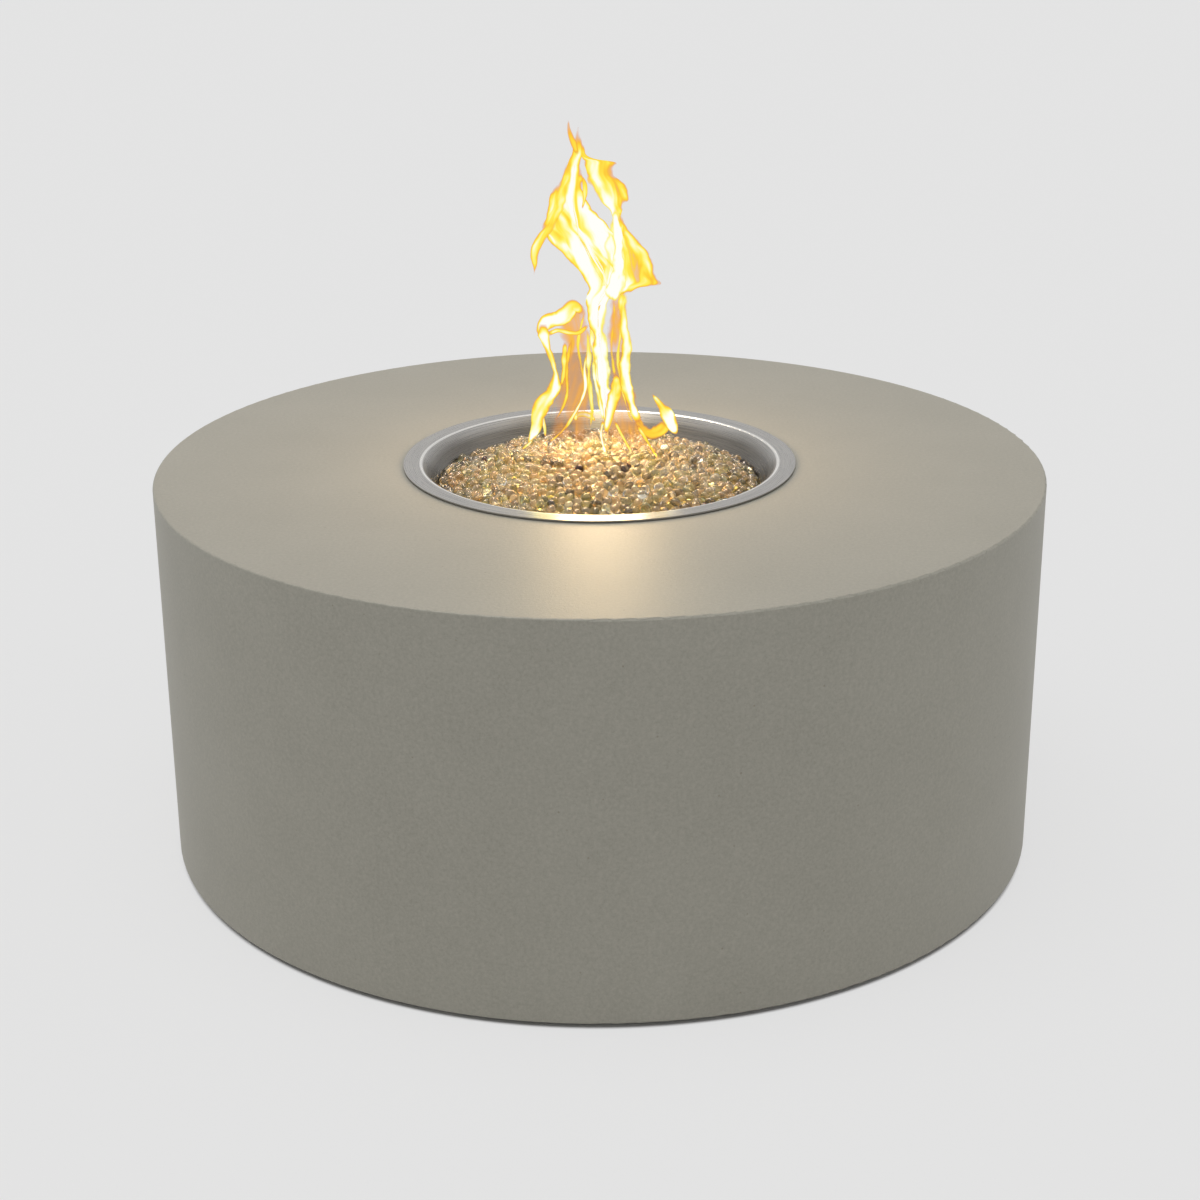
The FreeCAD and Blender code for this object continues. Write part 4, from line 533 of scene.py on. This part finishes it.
def dial_marks():
    """A wedge that narrows from HI to LO, a tick at each setting, and the three words."""
    sweep = np.linspace(94, 176, 24)
    patches = [ink_band(dial_point(sweep, DIAL_RADIUS), np.linspace(3.2 * MM, 0.7 * MM, 24), PANEL_FACE)]
    for turn in (0, 90, 180):
        reach = np.array([DIAL_RADIUS - 2 * MM, DIAL_RADIUS + 2.4 * MM])
        patches.append(ink_band(dial_point(np.array([turn, turn]), reach), [1.1 * MM, 1.1 * MM], PANEL_FACE))
    marks = joined("dial_marks", patches, DIAL_INK)
    words = [("OFF", 0, 34 * MM), ("HI", -35 * MM, 0), ("LO", 0, -34 * MM)]
    letters = [(text.lower(), ink_word(text, right, up)) for text, right, up in words]
    pointer = ink_band([(0, 9 * MM), (0, 17.5 * MM)], [1.6 * MM, 1.6 * MM], KNOB_FACE)
    pieces = [(marks, "table"), (joined("knob_pointer", [pointer], DIAL_INK), "control_knob")]
    pieces += [(put("dial_word_" + text, *patch, DIAL_INK, smooth=False), "table") for text, patch in letters]
    for piece, body in pieces:
        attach(piece, body)


dial_marks()


# Fire bed

def bed_top(radius):
    """Height of the bed's dome: a sphere through the crown and the bed's edge at the bowl's wall."""
    crown, edge = BED_HIGH.z, DECK_TOP - BED_EDGE_DROP
    reach = bowl_wall(edge)
    ball = (reach ** 2 + (crown - edge) ** 2) / (2 * (crown - edge))
    return crown - ball + np.sqrt(ball ** 2 - np.minimum(radius, reach) ** 2)


def bowl_wall(height):
    """Radius of the bowl's sloped wall at a height: straight from its floor to its mouth."""
    share = (height - PAN_FLOOR) / (FLANGE_TOP - PAN_FLOOR)
    return BOWL_FLOOR + (BOWL_MOUTH - BOWL_FLOOR) * share


def settle(count, rounds=60):
    """Bead centres in the dome's upper layers: random points pushed apart until no two are nearer than a bead."""
    turn = chance.uniform(0, 2 * math.pi, count)
    out = bowl_wall(DECK_TOP - BED_EDGE_DROP) * np.sqrt(chance.uniform(0, 1, count))
    depth = chance.uniform(0, 1, count)
    ceiling = chance.normal(0.55, 0.14, count) * BEAD_SIZE
    spot = np.stack([out * np.cos(turn), out * np.sin(turn), np.zeros(count)], axis=1).astype(np.float32)
    spot[:, 2] = bed_top(out) - ceiling - depth * (BEAD_DEPTH - BEAD_SIZE)
    for _ in range(rounds):
        gap = spot[:, None, :] - spot[None, :, :]
        apart = np.sqrt((gap ** 2).sum(axis=2)) + np.eye(count, dtype=np.float32)
        push = np.clip(BEAD_SIZE * BEAD_APART - apart, 0, None) / apart
        spot += 0.35 * (gap * push[:, :, None]).sum(axis=1)
        out = np.hypot(spot[:, 0], spot[:, 1])
        room = bowl_wall(spot[:, 2]) - BEAD_FROM_WALL * BEAD_SIZE
        spot[:, :2] *= np.minimum(1, room / np.maximum(out, 1e-6))[:, None]
        out = np.minimum(out, room)
        high = bed_top(out) - ceiling
        spot[:, 2] = np.clip(spot[:, 2], high - (BEAD_DEPTH - BEAD_SIZE), high)
    return spot


def turns(count):
    """Random rotation matrices from normalised random quaternions."""
    q = chance.normal(size=(count, 4))
    w, x, y, z = (q / np.linalg.norm(q, axis=1, keepdims=True)).T
    return np.stack([
        1 - 2 * (y * y + z * z), 2 * (x * y - w * z), 2 * (x * z + w * y),
        2 * (x * y + w * z), 1 - 2 * (x * x + z * z), 2 * (y * z - w * x),
        2 * (x * z - w * y), 2 * (y * z + w * x), 1 - 2 * (x * x + y * y)], axis=1).reshape(-1, 3, 3)


def bead_shape():
    """Points and faces of a unit ball of 80 triangles."""
    shape = bmesh.new()
    bmesh.ops.create_icosphere(shape, subdivisions=2, radius=1.0)
    points = np.array([v.co for v in shape.verts])
    faces = np.array([[v.index for v in f.verts] for f in shape.faces])
    shape.free()
    return points, faces


def beads(name, centres, finish):
    """Beads at the centres: each is the ball times three half-widths, turned at random and moved to its centre."""
    points, faces = bead_shape()
    count = len(centres)
    half = BEAD_SIZE / 2 * chance.uniform((0.92, 0.82, 0.66), (1.14, 1.02, 0.9), (count, 3))
    shaped = points[None] * half[:, None, :]
    placed = np.einsum("nij,nkj->nki", turns(count), shaped) + centres[:, None, :]
    all_faces = faces[None] + (np.arange(count) * len(points))[:, None, None]
    stands_for(put(name, placed, all_faces.reshape(-1, 3), finish), "fire_glass")


centres = settle(BEAD_COUNT)
kind = chance.choice(5, BEAD_COUNT, p=(0.36, 0.28, 0.24, 0.11, 0.01))
for number, (name, finish) in enumerate((
        ("amber_beads", AMBER_GLASS), ("clear_beads", CLEAR_GLASS), ("olive_beads", OLIVE_GLASS),
        ("smoky_beads", SMOKY_GLASS), ("brown_beads", BROWN_GLASS))):
    beads(name, centres[kind == number], finish)

core_out = np.linspace(0, bowl_wall(DECK_TOP - BED_EDGE_DROP - BED_CORE_DEPTH) - 1.5 * MM, 40)
core_top = bed_top(core_out) - BED_CORE_DEPTH
core = list(zip(core_out, core_top)) + list(zip(core_out[::-1], core_top[::-1] - 3 * MM))
round_once = np.linspace(0, 2 * math.pi, 96, endpoint=False)
core_faces = quads(len(core), len(round_once), wrap_columns=True)
stands_for(joined("lower_beads", [(swept(core, round_once).reshape(-1, 3), core_faces)], BED_CORE), "fire_glass")


# Flame: sheets and strands of burning gas above the bed; not part of the object

# Width of a sheet's orange rim in mm, and how far a sheet bows in depth, as a share of half its width
RIM = 11
FLAME_BOW = 0.5
# How much wisps move the rim, and how much streaks change the warmth
WISP, STREAK = 0.35, 0.6
# How many times brighter the flame shows in metal and glass than in the picture, which clips at white
FLAME_IN_GLASS = 3.0
ACROSS = "_across"


def smooth_path(knots, steps):
    """Points on a smooth curve through the knots, a Catmull-Rom spline."""
    knots = np.asarray(knots, float)
    padded = np.vstack([2 * knots[0] - knots[1], knots, 2 * knots[-1] - knots[-2]])
    place = np.linspace(0, len(knots) - 1 - 1e-6, steps)
    i, t = place.astype(int), (place % 1)[:, None]
    a, b, c, d = padded[i], padded[i + 1], padded[i + 2], padded[i + 3]
    return 0.5 * (2 * b + (c - a) * t + (2 * a - 5 * b + 4 * c - d) * t ** 2 + (3 * b - a - 3 * c + d) * t ** 3)


def burning_gas():
    """Burning gas: white where it is hottest, then yellow, and orange at the rim, where it thins to nothing.

    The glow is 1 minus the square of the nearness to the rim, times the sheet's own warmth and its streaks. Where a
    sheet melts into the flame behind it, its orange rim is left clear and only its hotter middle covers.
    """
    material, tree, output = blank("burning_gas")
    flow = add(tree, "Attribute", attribute_name="flow").outputs["Vector"]
    rim = add(tree, "Attribute", attribute_name="rim").outputs["Fac"]
    warmth = add(tree, "Attribute", attribute_name="warmth").outputs["Fac"]
    melt = add(tree, "Attribute", attribute_name="melt").outputs["Fac"]
    # The flow is in cm. Wisps 18 mm across bend the rim; streaks 16 mm wide and 60 mm long run up the sheet
    bent = add(tree, "Mapping", {0: flow, 3: (0.55, 0.4, 1)}).outputs[0]
    wisp = add(tree, "TexNoise", {0: bent, "Scale": 1.0, "Detail": 2.0}).outputs[0]
    push = add(tree, "MapRange", {0: wisp, 1: 0.3, 2: 0.7, 3: -WISP, 4: WISP}).outputs[0]
    moved = add(tree, "Math", {0: rim, 1: push}, operation="ADD").outputs[0]
    square = add(tree, "Math", {0: moved, 1: moved}, operation="MULTIPLY").outputs[0]
    hill = add(tree, "Math", {0: 1.0, 1: square}, operation="SUBTRACT").outputs[0]
    grain = add(tree, "Mapping", {0: flow, 3: (0.62, 0.16, 1)}).outputs[0]
    streak = add(tree, "TexNoise", {0: grain, "Scale": 1.0, "Detail": 2.0, "Distortion": 0.6}).outputs[0]
    streak = add(tree, "MapRange", {0: streak, 1: 0.3, 2: 0.7, 3: 1 - STREAK, 4: 1 + STREAK}).outputs[0]
    glow = add(tree, "Math", {0: warmth, 1: streak}, operation="MULTIPLY").outputs[0]
    glow = add(tree, "Math", {0: hill, 1: glow}, operation="MULTIPLY").outputs[0]
    colour = add(tree, "ValToRGB", {0: glow})
    stops = colour.color_ramp.elements
    stops[0].position, stops[0].color = 0.0, srgb("#C8783C")
    stops[1].position, stops[1].color = 1.0, srgb("#FFFFFA")
    for place, tint in ((0.13, "#E38F42"), (0.25, "#F8B040"), (0.38, "#FFD540"), (0.54, "#FFEE58"), (0.7, "#FFF99C"),
                        (0.85, "#FFFFE0")):
        stops.new(place).color = srgb(tint)
    thin = add(tree, "MapRange", {0: melt, 3: 0.0, 4: 0.35}).outputs[0]
    full = add(tree, "MapRange", {0: melt, 3: 0.32, 4: 0.9}).outputs[0]
    cover = add(tree, "MapRange", {0: glow, 1: thin, 2: full, 3: 0.0, 4: 1.0}, interpolation_type="SMOOTHSTEP")
    seen = add(tree, "LightPath").outputs["Is Camera Ray"]
    bright = add(tree, "MapRange", {0: seen, 1: 0.0, 2: 1.0, 3: FLAME_IN_GLASS, 4: 1.0}).outputs[0]
    light = add(tree, "Emission", {0: colour.outputs[0], 1: bright})
    clear = add(tree, "BsdfTransparent").outputs[0]
    mixed = add(tree, "MixShader", {0: cover.outputs[0], 1: clear, 2: light.outputs[0]})
    tree.links.new(mixed.outputs[0], output.inputs["Surface"])
    return material


def sheet(name, left, right, heat, back, finish, bow=FLAME_BOW, columns=21):
    """A sheet of flame between two edges, in mm: a point is l + s (r - l), with s from 0 to 1 across.

    It bows in depth by 4 b w s (1 - s), with w half its width and b the bow. Its rim is 1 at the edge and 0 where
    the edge is further off than the rim's width. Its warmth follows the heats given, and fades at both ends.
    """
    rows = len(left)
    s = np.linspace(0, 1, columns)[None, :]
    wide = np.linalg.norm(right - left, axis=1)[:, None]
    points = left[:, None] + s[..., None] * (right - left)[:, None]
    points[..., 1] += (1 if back > 0 else -1) * 2 * bow * wide * s * (1 - s)
    middle = (left + right) / 2
    run = np.concatenate([[0], np.cumsum(np.linalg.norm(np.diff(middle, axis=0), axis=1))])[:, None]
    flow = np.stack(np.broadcast_arrays((s - 0.5) * wide / 10, run / 10, 0.37 * rows + 0.1 * left[0, 0]), axis=2)
    rim = 1 - np.minimum(1, np.minimum(s, 1 - s) * wide / np.minimum(RIM, wide / 2))
    v = np.linspace(0, 1, rows)
    fade = np.clip(np.minimum(v, 1 - v) * 9, 0.15, 1) * np.interp(v, np.linspace(0, 1, len(heat)), heat)
    melts = [np.interp(v, np.linspace(0, 1, len(shares)), shares)[:, None]
             for shares in MELTS.get(name.removesuffix(ACROSS), ((0,), (0,)))]
    melt = (1 - s) ** 2 * melts[0] + s ** 2 * melts[1]
    piece = put("flame_" + name, points * MM, quads(rows, columns), finish)
    piece.data.attributes.new("flow", "FLOAT_VECTOR", "POINT").data.foreach_set("vector", flow.ravel())
    piece.data.attributes.new("rim", "FLOAT", "POINT").data.foreach_set("value", rim.ravel())
    piece.data.attributes.new("melt", "FLOAT", "POINT").data.foreach_set("value", melt.ravel())
    piece.data.attributes.new("warmth", "FLOAT", "POINT").data.foreach_set("value", np.repeat(fade, columns))
    piece.visible_diffuse = piece.visible_shadow = False


def edges_of_sheet(knots, back):
    """Left and right edges through knots of left place, right place and height."""
    path = smooth_path(knots, 5 * len(knots))
    depth = np.full(len(path), float(back))
    return [np.stack([path[:, side], depth, path[:, 2]], axis=1) for side in (0, 1)]


def edges_of_strand(knots, back):
    """Edges on either side of a spine through knots of place, height and half width; it sways in depth."""
    path = smooth_path(knots, 7 * len(knots))
    wide = np.maximum(path[:, 2:], 0.4)
    sway = 0.5 * wide[:, 0] * np.sin(6 * np.linspace(0, 1, len(path)) + len(knots))
    spine = np.stack([path[:, 0], back + sway, path[:, 1]], axis=1)
    side = np.cross((0.0, 1, 0), np.gradient(spine, axis=0))
    side /= np.linalg.norm(side, axis=1, keepdims=True)
    return spine - wide * side, spine + wide * side


def across(edges):
    """Edges turned a quarter about the main sheet's middle line and drawn in by a fifth, to give the flame depth."""
    line = np.array(FLAME_SHEETS["main"][2], float)
    middles = [np.interp(edge[:, 2], line[:, 2], line[:, :2].mean(axis=1)) for edge in edges]
    return [np.stack([middle, 0.8 * (edge[:, 0] - middle), edge[:, 2]], axis=1) for edge, middle in zip(edges, middles)]


BURNING_GAS = burning_gas()

# Each sheet: its heats from foot to tip, its place in depth, and knots of left edge, right edge and height, in mm
FLAME_SHEETS = {
    "main": ((1.3, 1.3, 1.3, 1.25, 1.0, 0.8, 1.0, 0.8, 0.55, 0.42), 2, [
        (9, 12, 490), (8, 13, 506), (5, 14, 523), (1, 17, 546), (-4, 15, 572), (-6, 13, 597), (-9, 12, 623),
        (-14, 12, 648), (-15, 15, 664), (-13, 29, 677), (-16, 34, 689), (-23, 34, 702), (-36, 32, 714),
        (-49, 30, 727), (-59, 28, 739), (-61, 15, 749), (-58, 10, 758), (-54, 2, 767), (-49, -7, 776),
        (-43, -15, 789), (-39, -17, 804), (-37, -18, 819), (-33, -18, 831), (-29, -18, 840), (-28, -18, 852),
        (-26, -20, 861), (-23, -21, 869)]),
    "right_lobe": ((1.0, 0.72, 0.62, 0.66, 0.85), 6, [
        (12, 33, 668), (8, 38, 674), (4, 49, 680), (2, 73, 683), (2, 71, 691), (3, 68, 701), (4, 66, 710),
        (5, 62, 721), (6, 55, 729), (8, 50, 737), (10, 37, 748), (12, 31, 757), (14, 28, 768)]),
    "right_sheet": ((1.2, 1.0, 0.65, 0.55, 0.45), 9, [
        (20, 38, 740), (19, 30, 751), (17, 27, 761), (13, 28, 769), (4, 31, 776), (-3, 38, 784), (-6, 36, 792),
        (-10, 32, 801), (-12, 25, 807), (-12, 18, 813), (-14, 19, 821), (-16, 21, 827), (-17, -2, 831),
        (-19, -13, 836), (-19, -15, 844), (-20, -18, 851)]),
    "left_arm": ((0.45, 0.7, 0.75, 0.6, 0.55), -4, [
        (-76, -75, 698), (-77, -72, 708), (-80, -70, 721), (-78, -66, 732), (-72, -58, 744), (-66, -48, 756),
        (-61, -42, 769), (-58, -36, 778), (-56, -33, 790), (-52, -31, 799), (-46, -30, 807), (-41, -28, 818),
        (-36, -27, 830)]),
    "left_veil": ((0.14, 0.17, 0.18, 0.2, 0.32), 10, [
        (-63, -9, 478), (-62, -9, 495), (-61, -9, 512), (-58, -7, 530), (-53, -4, 550), (-47, -4, 570),
        (-43, -5, 589), (-41, -7, 608), (-48, -9, 624), (-50, -12, 637), (-47, -15, 650), (-37, -19, 659),
        (-33, -30, 664)]),
    "right_veil": ((0.17, 0.2, 0.22, 0.24, 0.32), 8, [
        (8, 60, 478), (8, 57, 494), (8, 53, 509), (9, 48, 531), (11, 44, 550), (12, 40, 570), (11, 38, 589),
        (10, 40, 608), (10, 40, 618), (10, 35, 631), (11, 34, 647), (12, 32, 663), (15, 31, 674)]),
}
# Each strand: its heats from first knot to last, its place in depth, and knots of place, height and half width, in mm
FLAME_STRANDS = {
    "right_column": ((1.0, 1.5, 1.5), -5, [
        (20, 786, 3.6), (21, 768, 5.1), (22, 753, 5.8), (23, 737, 6.4), (24, 722, 7.3), (25, 706, 8.5),
        (23, 691, 10.3), (19, 677, 11.5), (15, 666, 9.1)]),
    "right_strand": ((0.9, 1.0), -3, [
        (30, 681, 6.1), (29, 667, 5.8), (30, 649, 6.1), (31, 630, 6.4), (33, 618, 6.7), (32, 602, 8.2),
        (30, 584, 8.2), (33, 565, 7.6), (38, 545, 6.4), (43, 529, 5.1), (48, 519, 4.2)]),
    "left_tongue": ((0.9, 1.0), -6, [
        (-66, 640, 6), (-66, 631, 8), (-63, 618, 5), (-58, 602, 4), (-54, 589, 3.5), (-51, 575, 5), (-55, 558, 9),
        (-67, 543, 10.5), (-72, 529, 9.5), (-75, 515, 7), (-82, 500, 3.5), (-86, 492, 1)]),
    "left_tip": ((0.6, 0.25), -2, [
        (-23, 839, 2.7), (-27, 850, 3.6), (-31, 860, 3), (-33, 869, 1.8), (-33, 878, 0.6)]),
    "side_tip": ((0.6, 0.3), -2, [
        (-18, 776, 1.8), (-15, 791, 2.7), (-15, 803, 2.7), (-18, 814, 0.9)]),
    "arch": ((1.1, 0.6), 0, [
        (-67, 622, 4.8), (-67, 633, 8.2), (-59, 641, 10.3), (-47, 645, 10.3), (-37, 653, 10.0), (-31, 660, 8.2),
        (-25, 657, 6.7), (-18, 652, 4.8)]),
    "lower_arch": ((0.7, 0.5), 0, [
        (-60, 627, 4), (-48, 630, 3), (-34, 627, 3), (-23, 628, 3), (-12, 637, 2)]),
    "left_edge": ((0.6, 0.7), -3, [
        (-40, 617, 2.4), (-41, 599, 3.6), (-42, 580, 3), (-45, 563, 1.8)]),
    "back_arch": ((0.9, 0.9), 20, [
        (-28, 513, 1.8), (-28, 518, 2.7), (-21, 521, 3.3), (-11, 519, 3.3), (-5, 513, 1.8)]),
    "strand_a": ((0.7, 0.7), -10, [
        (-14, 606, 1.6), (-17, 586, 2.2), (-16, 563, 2.2), (-24, 541, 2.2), (-38, 518, 2.2), (-51, 503, 1.8),
        (-61, 495, 0.8)]),
    "strand_b": ((0.8, 0.8), -12, [
        (5, 522, 2), (2, 506, 1.6), (5, 489, 1.5), (7, 480, 0.8)]),
    "strand_c": ((0.75, 0.75), -12, [
        (19, 521, 2), (26, 506, 1.7), (35, 489, 1.5), (39, 482, 0.8)]),
    "strand_d": ((0.75, 0.75), -12, [
        (46, 516, 2), (57, 497, 1.8), (65, 483, 1.5), (69, 475, 0.8)]),
    "strand_e": ((0.9, 0.9), -8, [
        (-7, 600, 2.5), (-4, 569, 3), (1, 546, 3), (5, 521, 2)]),
    "strand_f": ((0.7, 0.8), -4, [
        (-14, 640, 3), (-12, 600, 4), (-12, 565, 4), (-9, 535, 3), (-11, 508, 1.5)]),
    "streak_a": ((0.45, 0.35), 6, [
        (-16, 652, 2.1), (-21, 632, 2.1), (-25, 609, 2.4), (-21, 584, 2.7), (-18, 564, 2.4), (-24, 541, 2.1),
        (-32, 523, 1.5)]),
    "streak_b": ((0.45, 0.35), 7, [
        (-32, 617, 1.8), (-37, 596, 2.7), (-39, 577, 3.0), (-38, 554, 2.7), (-43, 535, 2.1), (-53, 517, 1.2)]),
    "streak_c": ((0.75, 0.75), 4, [
        (-10, 658, 3.6), (-9, 635, 3.3), (-7, 613, 3.6), (-4, 590, 3.6), (-3, 568, 3.3), (-1, 545, 2.7),
        (4, 522, 1.8)]),
    "streak_d": ((0.45, 0.35), 5, [
        (18, 667, 2.1), (18, 638, 2.4), (15, 609, 2.7), (17, 587, 2.4), (20, 571, 1.8)]),
    "streak_e": ((0.5, 0.6), 4, [
        (25, 654, 2.4), (26, 625, 2.7), (23, 597, 2.7), (26, 571, 2.7), (30, 548, 2.4), (36, 525, 2.1),
        (43, 510, 1.2)]),
    "root_a": ((0.9, 0.6), -8, [
        (-69, 528, 2.7), (-66, 515, 2.1), (-65, 502, 0.9)]),
    "root_b": ((0.7, 0.5), -12, [
        (-81, 498, 1.5), (-86, 493, 1.5), (-93, 487, 0.6)]),
    "middle_tongue": ((1.1, 1.0), -8, [
        (8, 505, 2), (11, 522, 5), (15, 540, 8), (18, 556, 8.5), (20, 568, 7), (20, 578, 2)]),
    "small_tongue": ((1.1, 1.1), 0, [
        (64, 551, 0.6), (70, 543, 3.3), (77, 533, 6.7), (83, 523, 8.5), (88, 512, 7.3), (93, 502, 2.4)]),
    "hook": ((0.7, 0.5), 0, [
        (83, 518, 6.7), (74, 506, 7.9), (63, 502, 8.5), (53, 508, 6.7), (46, 520, 4.2), (41, 536, 2.4)]),
}
# Pieces that also stand across the flame, edge-on to the photograph's camera
WIDE_PIECES = {"main", "right_lobe", "right_sheet", "left_arm", "right_strand", "left_tongue", "arch", "left_tip",
               "middle_tongue", "right_column"}
# How far the left and right edges melt into the flame behind them, in even steps along the sheet or strand
MELTS = {
    "main": ((0,), (1, 1, 1, 1, 1, 0, 0, 0, 0, 0)),
    "right_lobe": ((1,), (0,)),
    "right_sheet": ((1, 0.5, 0, 0), (0.5, 0, 0, 0)),
    "left_arm": ((0,), (0, 0, 0.5, 1, 1)),
    "right_column": ((1,), (1,)),
    "right_strand": ((1, 0.5, 0), (0.5, 0, 0)),
    "streak_a": ((0.4,), (0.4,)),
    "streak_c": ((1,), (0.6,)),
    "streak_d": ((0.4,), (0.4,)),
    "streak_e": ((0.4,), (0.8,)),
    "strand_e": ((1,), (1,)),
    "strand_f": ((0.5,), (1,)),
}
for pieces, edges in ((FLAME_SHEETS, edges_of_sheet), (FLAME_STRANDS, edges_of_strand)):
    for name, (heat, back, knots) in pieces.items():
        sheet(name, *edges(knots, back), heat, back, BURNING_GAS)
        if name in WIDE_PIECES:
            hotter = [1.25 * share for share in heat]
            sheet(name + ACROSS, *across(edges(knots, back)), hotter, back, BURNING_GAS, bow=0)


# Light

def camera():
    """The camera at its solved place: pitched down from level, then rolled about its own axis."""
    data = bpy.data.cameras.new("camera")
    data.lens, data.sensor_width, data.clip_end = LENS_MM, SENSOR_MM, 1.5 * FLOOR_REACH
    ahead = Vector((0, math.cos(CAMERA_PITCH), -math.sin(CAMERA_PITCH)))
    level, above = Vector((1, 0, 0)), Vector((0, math.sin(CAMERA_PITCH), math.cos(CAMERA_PITCH)))
    right = level * math.cos(CAMERA_ROLL) + above * math.sin(CAMERA_ROLL)
    up = above * math.cos(CAMERA_ROLL) - level * math.sin(CAMERA_ROLL)
    item = bpy.data.objects.new("camera", data)
    item.matrix_world = Matrix.Translation(CAMERA_PLACE) @ Matrix((right, up, -ahead)).transposed().to_4x4()
    bpy.context.scene.collection.objects.link(item)
    bpy.context.scene.camera = item


def sunlight(name, strength, spread, towards, tint="#FFFFFF", only_gloss=False):
    """A far soft light: its direction is from the object towards it, and its spread in degrees softens the shadow."""
    data = bpy.data.lights.new(name, "SUN")
    data.energy, data.angle, data.color = strength, math.radians(spread), srgb(tint)[:3]
    item = bpy.data.objects.new(name, data)
    item.visible_diffuse = not only_gloss
    item.rotation_euler = Vector(towards).to_track_quat("Z", "Y").to_euler()
    bpy.context.scene.collection.objects.link(item)


def flame_lamp(name, place_mm, share):
    """A share of the flame's light, given off by a warm ball inside it."""
    data = bpy.data.lights.new(name, "POINT")
    data.energy, data.shadow_soft_size, data.color = FLAME_LIGHT * share, FLAME_BALL, srgb("#FFDCAC")[:3]
    item = bpy.data.objects.new(name, data)
    item.location = Vector(place_mm) * MM
    bpy.context.scene.collection.objects.link(item)


def seen_directly(tree):
    """1 where a ray comes from the camera, or from it by way of metal or glass."""
    path = add(tree, "LightPath").outputs
    seen = add(tree, "Math", {0: path["Is Camera Ray"], 1: path["Is Glossy Ray"]}, operation="MAXIMUM").outputs[0]
    return add(tree, "Math", {0: seen, 1: path["Is Transmission Ray"]}, operation="MAXIMUM").outputs[0]


BACKDROP = "#E5E5E5"
FLOOR_PAINT = "#E2E2E2"
SKY_LIGHT = 0.4
# Of the floor's look outside the shell, the share that is lit paint; the rest glows as evenly as the world behind it
FLOOR_SHOWS = 0.25
FLOOR_GLOW = 1.09
FLOOR_REACH = 40
# The flame's light in watts, given off by balls of this radius
FLAME_LIGHT = 2.7
FLAME_BALL = 55 * MM


def studio():
    """A pale world and floor that look one even grey, with soft light from above and both sides."""
    world = bpy.data.worlds.new("studio")
    bpy.context.scene.world = world
    world.use_nodes = True
    tree = world.node_tree
    tree.nodes.clear()
    shown = add(tree, "Background", {0: srgb(BACKDROP), 1: 1.0})
    light = add(tree, "Background", {0: srgb("#FFFFFF"), 1: SKY_LIGHT})
    mixed = add(tree, "MixShader", {0: seen_directly(tree), 1: light.outputs[0], 2: shown.outputs[0]})
    tree.links.new(mixed.outputs[0], add(tree, "OutputWorld").inputs[0])

    # Painted studio floor: even pale grey that still takes the object's shadow
    material, tree, output = blank("studio_floor")
    paint = add(tree, "BsdfDiffuse", {0: srgb(FLOOR_PAINT)})
    even = add(tree, "Emission", {0: srgb(BACKDROP), 1: FLOOR_GLOW})
    place = add(tree, "TexCoord").outputs["Object"]
    out = add(tree, "VectorMath", {0: place}, operation="LENGTH").outputs["Value"]
    clear = {0: out, 1: SHELL_REACH - 5 * MM, 2: SHELL_REACH, 3: 0.0, 4: 1 - FLOOR_SHOWS}
    clear = add(tree, "MapRange", clear).outputs[0]
    share = add(tree, "Math", {0: seen_directly(tree), 1: clear}, operation="MULTIPLY").outputs[0]
    mixed = add(tree, "MixShader", {0: share, 1: paint.outputs[0], 2: even.outputs[0]})
    tree.links.new(mixed.outputs[0], output.inputs[0])
    corners = FLOOR_REACH * np.array([[-1, -1, 0], [1, -1, 0], [1, 1, 0], [-1, 1, 0]])
    put("floor", corners, [[0, 1, 2, 3]], material, smooth=False)

    sunlight("top_light", 0.76, 50, (-0.1, -0.12, 1.0))
    sunlight("sparkle_light", 2.6, 28, (-0.2, 0.4, 1.0), "#FFEEDA", only_gloss=True)
    sunlight("left_light", 0.27, 60, (-1.0, -0.1, 0.3))
    sunlight("right_light", 0.27, 60, (1.0, -0.1, 0.3))
    flame_lamp("flame_low", (0, 0, 557), 0.62)
    flame_lamp("flame_middle", (0, 0, 670), 0.19)
    flame_lamp("flame_high", (-20, 0, 760), 0.19)


camera()
studio()

scene = bpy.context.scene
scene.view_settings.view_transform = "Standard"
